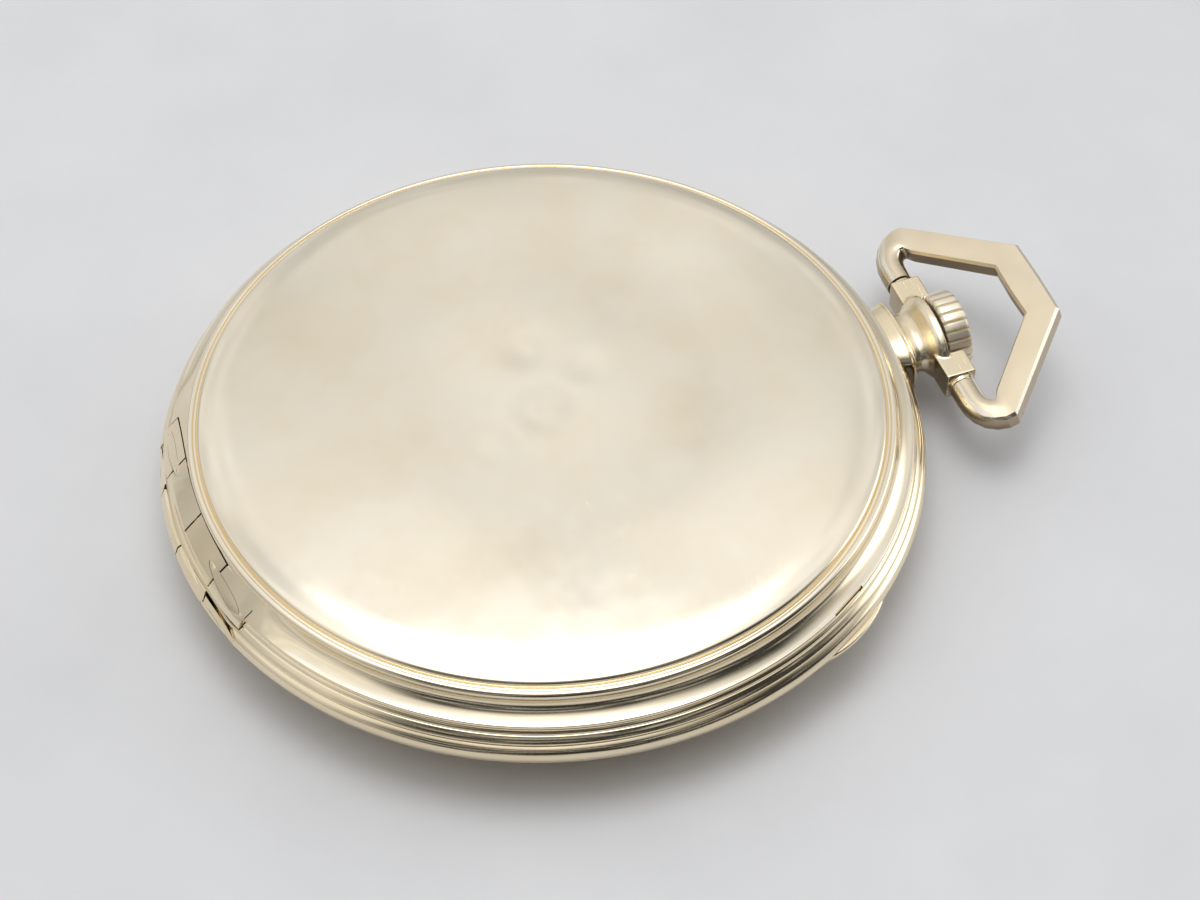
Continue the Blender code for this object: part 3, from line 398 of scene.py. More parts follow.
PALE_GOLD = (0.93, 0.855, 0.715)
GOLD = (0.92, 0.80, 0.585)
SATIN_GOLD = (0.72, 0.625, 0.47)
# Dark brown for the dirt specks, and for the painted shade on sides and undersides.
DIRT_AND_SHADE_BROWN = (0.16, 0.10, 0.055)


def gold(name, colour, rough, dirt=0.0, hairlines=0.004, ripple=0.004, grain=0.0, shade=0.0,
         steep=None, wear_and_painted_sheen=0.0):
    """Worn gold: uneven tone, hairlines, ripples, specks of dirt, and painted shade on the sides and
    undersides.

    steep is the colour of the skin that slopes, and the flatter top keeps the main colour as a painted
    highlight; the last argument polishes the bevels between top and side and paints them paler, real
    wear with a painted highlight.
    """
    shader = Shader(name, colour, rough, 1.0)
    tone = shader.spread(shader.noise(6.0, 4.0), 0.35, 0.75)
    deep = (0.96 * colour[0], 0.93 * colour[1], 0.86 * colour[2])
    colour = shader.mixed(tone, colour, deep)
    # Painted highlight: the flatter top keeps the main colour and only the slopes turn to steep.
    if steep:
        colour = shader.mixed(shader.spread(shader.facing_up(), 0.94, 0.84), colour, steep)
    # Painted shade: sides and undersides are darkened toward dark brown, by up to shade.
    if shade:
        under = shader.spread(shader.facing_up(), 0.45, -0.25, 0.0, shade)
        colour = shader.mixed(under, colour, DIRT_AND_SHADE_BROWN)
    lines = scratches(shader, (12, 67, 121, 160))
    smudge = shader.spread(shader.noise(2.4, 5.0, rough=0.65), 0.3, 0.8, rough, rough * 1.7)
    if dirt:
        specks = shader.spread(shader.noise(0.5, 4.0, rough=0.7), 0.74 - dirt, 0.80 - dirt)
        colour = shader.mixed(specks, colour, DIRT_AND_SHADE_BROWN)
        smudge = shader.maths("ADD", smudge, shader.maths("MULTIPLY", specks, 0.3))
    smudge = shader.maths("ADD", smudge, shader.maths("MULTIPLY", lines, 0.08))
    # Real wear with a painted highlight: the bevels between top and side are painted paler and made
    # glossier.
    if wear_and_painted_sheen:
        up = shader.facing_up()
        bevel = shader.maths("MULTIPLY", shader.spread(up, 0.42, 0.52), shader.spread(up, 0.92, 0.84))
        colour = shader.mixed(bevel, colour, PALE_GOLD)
        smudge = shader.maths("MULTIPLY", smudge,
                              shader.maths("SUBTRACT", 1.0, shader.maths("MULTIPLY", bevel, wear_and_painted_sheen)))
    shader.colour(colour)
    shader.roughness(smudge)
    shader.bump(shader.noise(4.5, 1.0), ripple)
    shader.bump(shader.maths("SUBTRACT", 1.0, lines), hairlines)
    if grain:
        shader.bump(shader.noise(0.05, 2.0), grain)
    return shader


def stripes(name):
    """Nickel bridge with broad polished stripes of fine graining."""
    shader = Shader(name, (0.74, 0.72, 0.68), 0.24, 1.0)
    band = shader.bands(1.5)
    fine = shader.noise(1.0, 2.0, shader.mapped(shader.point, (0.6, 22.0, 22.0), (0, 0, 38)))
    shader.colour(shader.mixed(band, (0.78, 0.76, 0.72), (0.62, 0.60, 0.57)))
    shader.roughness(shader.maths("ADD", shader.spread(band, 0, 1, 0.16, 0.34),
                                  shader.maths("MULTIPLY", fine, 0.12)))
    shader.bump(band, 0.012)
    shader.bump(fine, 0.002)
    return shader


def pearled(name):
    """Mainplate covered with overlapping polished spots."""
    shader = Shader(name, (0.72, 0.70, 0.65), 0.3, 1.0)
    spots = shader.cells(0.9)
    shader.colour(shader.mixed(shader.spread(spots, 0, 0.8), (0.78, 0.76, 0.71),
                               (0.60, 0.58, 0.54)))
    shader.roughness(shader.spread(spots, 0.0, 0.8, 0.2, 0.42))
    shader.bump(spots, 0.02)
    shader.bump(shader.noise(0.06, 2.0), 0.002)
    return shader


def ringed(name, colour, rough=0.25, pitch=0.12):
    """Metal turned or ground in rings."""
    shader = Shader(name, colour, rough, 1.0)
    rings = shader.rings(pitch)
    tone = shader.noise(1.2, 3.0)
    dark = tuple(0.72 * c for c in colour)
    shader.colour(shader.mixed(shader.spread(tone, 0.4, 0.9), colour, dark))
    shader.roughness(shader.maths("ADD", shader.spread(rings, 0.2, 0.8, rough * 0.8, rough * 1.3),
                                  shader.maths("MULTIPLY", tone, 0.06)))
    shader.bump(rings, 0.004)
    return shader


def brushed(name, colour, rough, blot=(0.0, 0.0, 0.0)):
    """Metal with straight fine graining and a few darker stains."""
    shader = Shader(name, colour, rough, 1.0)
    grain = shader.noise(1.0, 2.0, shader.mapped(shader.point, (0.8, 28.0, 28.0)))
    stain = shader.spread(shader.noise(0.9, 4.0), 0.45, 0.95)
    shader.colour(shader.mixed(stain, colour, tuple(0.55 * c + 0.45 * b
                                                    for c, b in zip(colour, blot))))
    shader.roughness(shader.maths("ADD", shader.spread(grain, 0.2, 0.8, rough * 0.8, rough * 1.3),
                                  shader.maths("MULTIPLY", stain, 0.1)))
    shader.bump(grain, 0.002)
    return shader


def glass(name):
    """Clear crystal with fine wear lines."""
    shader = Shader(name, (0.97, 0.985, 0.98), 0.02, 0.0)
    shader.bsdf.inputs["Transmission Weight"].default_value = 1.0
    shader.bsdf.inputs["IOR"].default_value = 1.5
    lines = scratches(shader, (25, 95, 150), 0.015, 4.0, 0.75)
    shader.roughness(shader.spread(lines, 0, 1, 0.015, 0.18))
    shader.bump(shader.noise(9.0, 1.0), 0.004)
    return shader


def enamel(name):
    """Creamy dial enamel with a little foxing under a gloss coat."""
    shader = Shader(name, (0.86, 0.85, 0.80), 0.22, 0.0)
    shader.bsdf.inputs["Coat Weight"].default_value = 0.6
    shader.bsdf.inputs["Coat Roughness"].default_value = 0.08
    tone = shader.spread(shader.noise(5.0, 4.0), 0.4, 0.8)
    foxing = shader.spread(shader.noise(0.7, 5.0, rough=0.7), 0.68, 0.78)
    base = shader.mixed(tone, (0.88, 0.87, 0.82), (0.83, 0.81, 0.74))
    shader.colour(shader.mixed(foxing, base, (0.74, 0.68, 0.56)))
    shader.roughness(shader.spread(shader.noise(1.5, 3.0), 0.3, 0.8, 0.16, 0.32))
    shader.bump(shader.noise(0.35, 3.0), 0.003)
    return shader


def ink(name):
    """Black printing, thin in places."""
    shader = Shader(name, (0.02, 0.02, 0.025), 0.35, 0.0)
    worn = shader.spread(shader.noise(0.25, 4.0), 0.55, 0.9)
    shader.colour(shader.mixed(worn, (0.015, 0.015, 0.02), (0.09, 0.085, 0.08)))
    shader.roughness(shader.spread(shader.noise(0.2, 3.0), 0.3, 0.7, 0.25, 0.5))
    shader.bump(shader.noise(0.08, 2.0), 0.002)
    return shader


def ruby(name):
    """Clouded red stone."""
    shader = Shader(name, (0.62, 0.03, 0.11), 0.06, 0.0)
    shader.bsdf.inputs["Transmission Weight"].default_value = 0.45
    shader.bsdf.inputs["IOR"].default_value = 1.76
    cloud = shader.noise(0.5, 3.0)
    shader.colour(shader.mixed(cloud, (0.70, 0.04, 0.14), (0.42, 0.01, 0.07)))
    shader.roughness(shader.spread(cloud, 0.3, 0.8, 0.03, 0.12))
    shader.bump(shader.noise(0.2, 2.0), 0.001)
    return shader


def coat(obj, shader, body=None):
    """Give a piece its material and, when it is a new piece, its body."""
    obj.data.materials.clear()
    obj.data.materials.append(shader.material)
    if body:
        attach(obj, body)
    return obj


# -------------------------------------------------------------------- case

DOME_R = 19.9
DOME_EDGE_R = 17.6  # where the dome begins to fall away faster
# x, y, radius and depth, less than 0 for a rise
DENTS = ((1.3, -0.5, 2.6, 0.120), (1.1, -0.3, 1.2, -0.030), (-3.4, 0.2, 2.2, 0.075),
         (-1.0, 3.0, 1.8, 0.045), (2.6, -3.4, 1.8, 0.035), (4.5, -6.0, 2.4, 0.024),
         (7.5, 4.0, 2.0, 0.020))


def dome(r):
    """The dome's height at this radius."""
    edge = max(0.0, r - DOME_EDGE_R) / (DOME_R - DOME_EDGE_R)
    return COVER_TOP - 0.92 * (r / DOME_R) ** 2.2 - 0.2 * edge ** 2.6


def dented(obj):
    """Press shallow dents and a faint unevenness into the dome's skin."""
    for vertex in obj.data.vertices:
        x, y, z = vertex.co / MM
        reach = math.hypot(x, y)
        if reach > DOME_R - 0.2 or z < dome(reach) - 0.6:
            continue
        drop = 0.020 * noise.noise(Vector((x, y, 3.0)) / 5.0) * (1 - (reach / DOME_R) ** 4)
        for at_x, at_y, size, depth in DENTS:
            near = math.hypot(x - at_x, y - at_y) / size
            drop -= depth * math.exp(-near ** 2 * 2.2) * (1 - 0.5 * near ** 2)
        vertex.co.z += drop * MM
    return obj


def hinge_bites(clip, axis, radius, spans):
    """Knuckles on one hinge axis, turned flush with the case by the clip."""
    out = []
    for low, far in spans:
        piece = rod((low, *axis), (far, *axis), radius, 64)
        combine(piece, [turned("clip", clip, CLIP_STEPS)], "INTERSECT")
        out.append(piece)
    return out


SHOULDER = ((20.58, 6.90), (21.64, 5.82))  # the plate built up over the cover's hinge
SHOULDER_FULL, SHOULDER_END = 22.0, 33.0  # degrees from the hinge's middle: full up to, gone at
COVER_CLIP = rounded([(0, 6.95), (20.5, 6.95), (20.58, 6.9, 0.05), (21.64, 5.82, 0.1),
                      (22.02, 5.3, 0.2), (22.02, 4.7), (0, 4.7)])
BEZEL_CLIP = rounded([(0, 5.0), (22.06, 5.0), (22.27, 4.4, 0.3), (22.46, 3.95, 0.3),
                      (22.27, 3.4, 0.3), (21.85, 2.8), (0, 2.8)])


def built_up(cover):
    """Fill the cover's cove at the hinge, fading out past both ends."""
    (near_r, near_z), (far_r, far_z) = SHOULDER
    for vertex in cover.data.vertices:
        x, y, z = vertex.co / MM
        reach = math.hypot(x, y)
        turn = abs(math.degrees(math.atan2(x, -y)))
        if not (20.59 < reach < 21.66 and z > 5.7 and turn < SHOULDER_END):
            continue
        share = min(1.0, (SHOULDER_END - turn) / (SHOULDER_END - SHOULDER_FULL))
        share = share * share * (3 - 2 * share)
        along = (reach - 20.6 + 6.71 - z) / 2.0
        to_r = near_r + (far_r - near_r) * along
        to_z = near_z + (far_z - near_z) * along
        scale = 1 + share * (to_r / reach - 1)
        vertex.co = Vector((x * scale, y * scale, z + share * (to_z - z))) * MM
    return cover


def spans_of(first):
    """The band's knuckles are the even ones and the leaf's are the odd ones."""
    out = []
    for k in range(first, len(KNUCKLE_ENDS) - 1, 2):
        low = KNUCKLE_ENDS[k] + (GAP if k else 0.0)
        far = KNUCKLE_ENDS[k + 1] - (GAP if k + 2 < len(KNUCKLE_ENDS) else 0.0)
        out.append((low, far))
    return out


def back_cover():
    """The domed back with its bead and cove, two knuckles and the thumb notch."""
    skin = [(DOME_R * k / 44, dome(DOME_R * k / 44)) for k in range(44)]
    edge = rounded([(19.45, dome(19.45)), (DOME_R, dome(DOME_R), 0.14), (20.03, 7.02, 0.06),
                    (20.17, 7.0, 0.05), (20.24, 7.15, 0.07), (20.46, 7.13, 0.09),
                    (20.585, 6.96, 0.05), (20.6, 6.7)])
    cove = [(20.6, 6.66), (20.605, 6.56)] + bend((20.61, 6.5), (20.7, 6.1), (21.5, 5.77), 12)
    lip = rounded([(21.52, 5.76), (21.64, 5.74, 0.05), (21.68, 5.57, 0.04), (20.95, 5.56)])
    inner = [(20.55, 6.05), (19.9, 6.6)]
    under = [(r, dome(r) - 0.45) for r in (18.2, 15, 12, 8, 4, 0)]
    cover = turned("cover", skin[:-1] + edge + cove + lip[1:] + inner + under)
    dented(cover)
    built_up(cover)
    reach = HINGE_HALF + GAP
    cut(cover,
        rod((-reach, *COVER_AXIS), (reach, *COVER_AXIS), COVER_KNUCKLE_R + 0.1, 64),
        block((-reach, -23, 5), (reach, COVER_AXIS[0], 6.2)))
    for low, far in spans_of(1):
        root = block((low + 0.02, COVER_AXIS[0], 6.1), (far - 0.02, -19.4, 6.75))
        join(cover, combine(root, [turned("clip", COVER_CLIP, CLIP_STEPS)], "INTERSECT"))
    join(cover, *hinge_bites(COVER_CLIP, COVER_AXIS, COVER_KNUCKLE_R, spans_of(1)))
    cut(cover,
        pin_hole(COVER_AXIS, COVER_PIN_R),
        block((-1.3, 21.5, 5.4), (1.3, 22.5, 5.92), -LIP_ANGLE))
    return smooth(cover)


def pin_hole(axis, radius):
    return rod((-9, *axis), (9, *axis), radius + PIN_PLAY)


def hinge_pin(axis, radius, clip):
    """A pin with both ends turned flush with the case."""
    pin = rod((-HINGE_HALF - 0.5, *axis), (HINGE_HALF + 0.5, *axis), radius, 48)
    return smooth(combine(pin, [turned("clip", clip, CLIP_STEPS)], "INTERSECT"))


def case_band():
    """The middle of the case, with the fixed knuckles of both hinges."""
    profile = rounded([(20.4, 5.58), (20.75, 5.46, 0.05), (21.62, 5.45, 0.06), (21.78, 5.3, 0.07),
                       (21.8, 5.2, 0.03), (21.76, 5.16, 0.03), (21.83, 5.14, 0.03),
                       (22.02, 4.99, 0.12), (22.17, 4.8, 0.1), (22.12, 4.68, 0.05),
                       (22.04, 4.64, 0.03), (21.1, 4.64), (21.1, 3.3), (19.98, 3.2),
                       (19.98, 4.64), (19.3, 4.64), (19.3, 5.58)])
    band = turned("band", profile, closed=True)
    cut(band, rod((-8.3, *BEZEL_AXIS), (8.3, *BEZEL_AXIS), 1.05, 64))
    for low, far in spans_of(1):
        cut(band, rod((low - GAP, *COVER_AXIS), (far + GAP, *COVER_AXIS),
                      COVER_KNUCKLE_R + 0.08, 64))
    join(band, *hinge_bites(COVER_CLIP, COVER_AXIS, COVER_KNUCKLE_R, spans_of(0)))
    for low, far in spans_of(0):
        arm = block((low + 0.02, -21.86, 3.98), (far - 0.02, -21.27, 4.95))
        join(band, combine(arm, [turned("clip", BEZEL_CLIP, CLIP_STEPS)], "INTERSECT"))
    join(band, *hinge_bites(BEZEL_CLIP, BEZEL_AXIS, BEZEL_KNUCKLE_R, spans_of(0)))
    cut(band,
        pin_hole(COVER_AXIS, COVER_PIN_R),
        pin_hole(BEZEL_AXIS, BEZEL_PIN_R),
        rod((0, 18, STEM_Z), (0, 24, STEM_Z), 1.72, 64))
    return smooth(band)


def thumb_lip(reach, thick, z):
    """A thin crescent that stands out of the bezel where a thumb lifts it."""
    across = 8.0
    disc = turned("lip", rounded([(0, thick / 2), (across, thick / 2, 0.12),
                                  (across, -thick / 2, 0.12), (0, -thick / 2)]), 96)
    a = math.radians(90 - LIP_ANGLE)
    centre = CASE_R + reach - across
    disc.location = (centre * math.cos(a) * MM, centre * math.sin(a) * MM, z * MM)
    baked(disc)
    trim = block((-3.6, 21.6, z - 2), (3.6, 24, z + 2), -LIP_ANGLE)
    return combine(disc, [trim], "INTERSECT")


def bezel_ring():
    """The rolled front ring, with its knuckles, thumb lip and the pendant's notch."""
    profile = rounded([(21.25, 4.52), (22.02, 4.52, 0.05), (22.32, 4.34, 0.2),
                       (CASE_R, 3.95, 0.3), (22.36, 3.5, 0.1), (22.31, 3.46, 0.04),
                       (22.3, 3.38, 0.05), (21.9, 2.85, 0.4), (20.9, 1.95, 0.4),
                       (19.95, 1.3, 0.15), (19.75, 1.3, 0.08), (19.6, 0.98, 0.12),
                       (19.1, 0.86, 0.12), (18.75, 0.95, 0.08), (18.7, 1.6), (18.0, 1.6),
                       (18.0, 1.88), (19.2, 1.88), (19.2, 2.95), (21.25, 2.95)])
    ring = turned("ring", profile, closed=True)
    reach = HINGE_HALF + GAP
    cut(ring,
        rod((-reach, *BEZEL_AXIS), (reach, *BEZEL_AXIS), BEZEL_KNUCKLE_R + 0.08, 64),
        block((-reach, -23, 3.85), (reach, -20.9, 5.0)))
    for low, far in spans_of(1):
        arm = block((low + 0.02, -21.93, 3.02), (far - 0.02, -21.33, 3.7))
        join(ring, combine(arm, [turned("clip", BEZEL_CLIP, CLIP_STEPS)], "INTERSECT"))
    join(ring, *hinge_bites(BEZEL_CLIP, BEZEL_AXIS, BEZEL_KNUCKLE_R, spans_of(1)))
    cut(ring,
        pin_hole(BEZEL_AXIS, BEZEL_PIN_R),
        rod((0, 20.3, STEM_Z), (0, 24, STEM_Z), 1.85, 64))
    join(ring, thumb_lip(0.24, 0.32, 3.7))
    return smooth(ring)


def watch_glass():
    """A low crystal with a flat middle and a bevelled edge."""
    profile = rounded([(0, 0.55), (15.0, 0.55, 0.6), (17.2, 0.8, 0.5), (18.0, 1.5, 0.05),
                       (18.6, 1.5, 0.04), (18.52, 1.1, 0.1), (17.5, 0.32, 0.6),
                       (15.5, 0.0, 0.3), (0, 0)], 6)
    return smooth(turned("glass", profile))


# ------------------------------------------------- pendant, crown and bow

EAR_HALF = 4.5  # from the middle of the stem to an ear's end
EAR_R = 0.80
CHEEK_ENDS, CHEEK_HALF = (2.3, 4.18), 0.93  # the lump that each ear grows out of
SEAT_LOW, SEAT_HIGH = 4.68, 5.6  # the seat lies on the band and under the cover's edge


def softened(obj, voxel, repeat):
    """Fuse overlapping lumps into one skin and melt its corners, as in a cast piece."""
    remesh = obj.modifiers.new("remesh", "REMESH")
    remesh.mode = "VOXEL"
    remesh.voxel_size = voxel * MM
    relax = obj.modifiers.new("relax", "SMOOTH")
    relax.factor = 0.5
    relax.iterations = repeat
    return baked(obj)


# y, half width, half height and squareness (1 is an ellipse) along the pendant
PENDANT_RINGS = (
    (20.6, 1.6, 1.22, 1.0), (22.54, 1.6, 1.22, 1.0), (22.56, 2.86, 1.86, 0.70),
    (22.60, 2.95, 1.95, 0.68), (22.74, 2.95, 1.95, 0.68), (22.79, 2.86, 1.86, 0.70),
    (22.86, 2.36, 1.50, 0.82), (23.1, 2.14, 1.32, 0.9), (23.5, 2.08, 1.28, 0.9),
    (23.85, 2.2, 1.42, 0.92), (24.15, 2.5, 1.74, 0.96), (24.4, 2.82, 2.06, 1.0),
    (24.6, 2.94, 2.2, 1.0), (24.98, 2.96, 2.24, 1.0))
SEAT_RINGS = ((20.9, 2.62, 1.80, 0.72), (21.9, 2.66, 1.80, 0.72), (22.66, 2.84, 1.84, 0.70))


def pendant_loft(sections):
    """Sections from PENDANT_RINGS or SEAT_RINGS joined along the stem."""
    rings = []
    for y, half_w, half_h, power in sections:
        ring = []
        for k in range(96):
            a = 2 * math.pi * k / 96
            ca, sa = math.cos(a), math.sin(a)
            ring.append((math.copysign(abs(ca) ** power, ca) * half_w, y,
                         STEM_Z + math.copysign(abs(sa) ** power, sa) * half_h))
        rings.append(ring)
    return lofted("tube", rings)


def pendant_casting():
    """Flange, waisted neck, collar and two ears in one casting, bored for the stem and the bow."""
    tube = pendant_loft(PENDANT_RINGS)
    seat = pendant_loft(SEAT_RINGS)
    combine(seat, [block((-4, 20, SEAT_LOW), (4, 24, SEAT_HIGH))], "INTERSECT")
    join(tube, seat)
    middle = BOW_AT[1]
    for side in (-1, 1):
        near, far = sorted(side * end for end in CHEEK_ENDS)
        cheek = block((near, middle - CHEEK_HALF, STEM_Z - CHEEK_HALF),
                      (far, middle + CHEEK_HALF, STEM_Z + CHEEK_HALF))
        ear = rod((side * 2.4, middle, STEM_Z), (side * EAR_HALF, middle, STEM_Z), EAR_R, 64)
        join(tube, cheek, ear)
    softened(tube, 0.055, 12)
    cut(tube,
        rod((0, 25.03, STEM_Z), (0, 30, STEM_Z), CROWN_R + 0.1, 96),
        rod((0, 20, STEM_Z), (0, 27, STEM_Z), 1.0))
    for side in (-1, 1):
        cut(tube, rod((side * 3.3, middle, STEM_Z), (side * 5, middle, STEM_Z), 0.46))
    return smooth(tube, 62)


def crown_cap():
    """Rounded lands with narrow grooves between them, and a domed end."""
    # height, and how far the rim draws in there
    rows = [(0.0, 0.30), (0.03, 0.14), (0.12, 0.04), (0.26, 0.0), (0.8, 0.0), (1.34, 0.0),
            (1.48, 0.04), (1.57, 0.14), (1.62, 0.30)]
    per_flute, groove_share, groove_depth = 12, 0.16, 0.22
    rings = []
    for z, inset in rows:
        ring = []
        for k in range(CROWN_FLUTES * per_flute):
            a = 2 * math.pi * k / (CROWN_FLUTES * per_flute)
            t = (k % per_flute) / per_flute
            groove = max(0.0, 1 - abs(t - 0.5) / groove_share)
            crowning = 0.03 * (2 * abs((t + 0.5) % 1 - 0.5)) ** 4
            r = CROWN_R - inset - crowning - groove_depth * groove ** 0.6
            ring.append((r * math.cos(a), r * math.sin(a), z))
        rings.append(ring)
    for r, z in ((2.05, 1.67), (1.9, 1.74), (1.6, 1.82), (1.1, 1.9), (0.5, 1.95), (0.05, 1.96)):
        count = len(rings[0])
        rings.append([(r * math.cos(2 * math.pi * k / count), r * math.sin(2 * math.pi * k / count), z)
                      for k in range(count)])
    cap = lofted("cap", rings)
    join(cap, rod((0, 0, -0.6), (0, 0, 0.3), 0.85))
    cut(cap, rod((0, 0, -0.8), (0, 0, 0.6), 0.5))
    return smooth(lay_along_y(cap, high("crown").y - CROWN_TALL), 40)


def bow_section(t, round_r, half_w, half_h, bevel):
    """Points round a bevelled bar (t = 1), a round arm (t = 0) or a blend of both."""
    corners = [(half_w, half_h), (-half_w, half_h), (-half_w, -half_h), (half_w, -half_h)]
    flat = []
    for k, (x, y) in enumerate(corners):
        sx, sy = math.copysign(1, x), math.copysign(1, y)
        ends = [(x, y - sy * bevel), (x - sx * bevel, y)]
        if sx * sy < 0:
            ends.reverse()
        for u in (0.0, 1 / 3, 2 / 3, 1.0):
            flat.append(tuple(a * (1 - u) + b * u for a, b in zip(*ends)))
        span = [b - a for a, b in zip((x, y), corners[(k + 1) % 4])]
        run = 1 - 2 * bevel / math.hypot(*span)
        for n in range(1, 12):
            flat.append(tuple(a + b * run * n / 12 for a, b in zip(ends[1], span)))
    out = []
    for x, y in flat:
        a = math.atan2(y / half_h, x / half_w)
        out.append((round_r * math.cos(a) * (1 - t) + x * t, round_r * math.sin(a) * (1 - t) + y * t))
    return out


BOW_PATH = (
    # place, heading, share of bar against round arm, stretch of the width at a mitre
    ((4.56, 0.0), (1.0, 0.0), 0.0, 1.0),
    ((5.5, 0.0), (1.0, 0.0), 0.0, 1.0),
    ((6.1, 0.04), (0.99, 0.14), 0.0, 1.0),
    ((6.65, 0.22), (0.93, 0.36), 0.08, 1.0),
    ((7.08, 0.52), (0.78, 0.62), 0.25, 1.0),
    ((7.32, 0.92), (0.5, 0.87), 0.5, 1.02),
    ((7.36, 1.3), (0.1, 1.0), 0.8, 1.1),
    ((7.2, 1.7), (-0.1, 1.0), 1.0, 1.17),
    ((2.46, 6.37), (-0.927, 0.374), 1.0, 1.05),
    ((0.0, 6.37), (-1.0, 0.0), 1.0, 1.03),
)


def bow_ring():
    """Round arms that run into a bevelled bar with mitred corners, and a pivot at each end."""
    arm, half_w, half_h, bevel = 0.84, 1.0, 0.6, 0.17
    rings = []
    for (x, y), (dx, dy), t, stretch in BOW_PATH:
        size = math.hypot(dx, dy)
        side = Vector((dy / size, -dx / size, 0.0))
        rings.append([Vector((x, y, 0.0)) + side * w + Vector((0, 0, h))
                      for w, h in bow_section(t, arm, half_w * stretch, half_h, bevel)])
    mirrored = [[Vector((-p.x, p.y, p.z)) for p in ring] for ring in rings[-2::-1]]
    ring = lofted("bow", rings + mirrored)
    for side in (-1, 1):
        join(ring, rod((side * 3.6, 0, 0), (side * 4.9, 0, 0), 0.4))
    ring.rotation_euler = (math.radians(BOW_TILT), 0.0, 0.0)
    ring.location = [value * MM for value in BOW_AT]
    return smooth(baked(ring), 24)


# ------------------------------------------------- dial and small fittings

SECONDS_AT = joint_at("seconds_turn")[:2]
DIAL_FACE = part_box("dial")[0].z / MM
PRINT = 0.015  # how far the printing stands off the dial


def merged(name, pieces):
    """Lay several pieces into one mesh without cutting them."""
    work = bmesh.new()
    for piece in pieces:
        work.from_mesh(piece.data)
        bpy.data.objects.remove(piece)
    return from_bmesh(name, work)


def printed_ring(x, y, inner, outer):
    """A thin line round (x, y) on the dial."""
    top, low = DIAL_FACE, DIAL_FACE - PRINT
    ring = turned("ring", [(inner, low), (outer, low), (outer, top), (inner, top)], closed=True)
    ring.location = (x * MM, y * MM, 0.0)
    return baked(ring)


def printed_tick(x, y, inner, outer, half, turn):
    """A short bar that points away from (x, y), turned clockwise as the dial is read."""
    tick = block((-half, inner, DIAL_FACE - PRINT), (half, outer, DIAL_FACE), turn)
    tick.location = (x * MM, y * MM, 0.0)
    return baked(tick)


def printed_number(text, size, x, y):
    """Figures that read the right way up on the dial's face, which looks down."""
    curve = bpy.data.curves.new("figure", "FONT")
    curve.body = text
    curve.size = size * MM
    curve.align_x = "CENTER"
    curve.align_y = "CENTER"
    curve.extrude = PRINT / 2 * MM
    curve.offset = 0.012 * size * MM
    holder = new_piece("figure", curve)
    holder.matrix_world = (Matrix.Translation((x * MM, y * MM, (DIAL_FACE - PRINT / 2) * MM))
                           @ Matrix.Rotation(math.pi, 4, "Y"))
    bpy.context.view_layer.update()
    graph = bpy.context.evaluated_depsgraph_get()
    mesh = bpy.data.meshes.new_from_object(holder.evaluated_get(graph))
    mesh.transform(holder.matrix_world)
    bpy.data.objects.remove(holder)
    return new_piece("figure", mesh)


def on_dial(x, y, reach, turn):
    """The point this far from (x, y), turned clockwise as the dial is read."""
    a = math.radians(turn)
    return x - reach * math.sin(a), y + reach * math.cos(a)


def hour_figures():
    return merged("hours", [printed_number(str(hour), 3.5, *on_dial(0, 0, 13.9, 30 * hour))
                            for hour in range(1, 13) if hour != 6])


def minute_track():
    marks = [printed_ring(0, 0, 16.35, 16.43), printed_ring(0, 0, 17.35, 17.43)]
    for minute in range(60):
        half = 0.16 if minute % 5 == 0 else 0.045
        marks.append(printed_tick(0, 0, 16.38, 17.4, half, 6 * minute))
    return merged("minutes", marks)


def seconds_track():
    marks = [printed_ring(*SECONDS_AT, 3.95, 4.0), printed_ring(*SECONDS_AT, 4.45, 4.5)]
    for second in range(60):
        half = 0.06 if second % 5 == 0 else 0.022
        marks.append(printed_tick(*SECONDS_AT, 3.97, 4.48, half, 6 * second))
    for second in range(10, 70, 10):
        marks.append(printed_number(str(second), 1.0, *on_dial(*SECONDS_AT, 3.2, 6 * second)))
    return merged("seconds", marks)


def middle_of(node):
    """A round node's middle, lowest and highest z, and radius."""
    low, top = (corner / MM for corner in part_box(node))
    return (low.x + top.x) / 2, (low.y + top.y) / 2, low.z, top.z, (top.x - low.x) / 2


def fine_screw(node, turn):
    """A round screw with a polished rim and a slot."""
    x, y, low, top, head = middle_of(node)
    seat = top - 0.3 if top - low > 0.4 else low
    cap = rounded([(0.3, seat), (head, seat), (head, top - 0.07, 0.03),
                   (head - 0.09, top, 0.04), (0, top)])
    tail = [(0.3, low + 0.02)] if seat > low else []
    screw = turned("screw", [(0, low + 0.02)] + tail + cap, 64)
    cut(screw, block((-2, -0.1, top - 0.15), (2, 0.1, top + 1), turn))
    screw.location = (x * MM, y * MM, 0.0)
    return smooth(baked(screw))


def fine_jewel(node):
    """A pierced ruby with a polished oil sink round its hole."""
    x, y, low, top, edge = middle_of(node)
    hole = 0.42 if node == "centre_jewel" else 0.26
    jewel = turned("jewel", rounded([(hole, low), (edge, low), (edge, top - 0.03, 0.02),
                                     (edge - 0.05, top, 0.03), (edge * 0.8, top, 0.05),
                                     (hole + 0.08, top - 0.12, 0.08), (hole, top - 0.12)]),
                   64, closed=True)
    jewel.location = (x * MM, y * MM, 0.0)
    return smooth(baked(jewel))


# ------------------------------------------------------------------ stage

WINDOW = Vector((0.05, 0.95, 0.26))  # the way to a bright window low beyond the pendant
LOOK_AT = Vector((-0.00096, 0.00392, 0.0008))
EYE = Vector((0.1097, -0.0372, 0.1373))
LENS, ROLL = 90.2, -0.35  # millimetres on a 36 mm sensor, and degrees


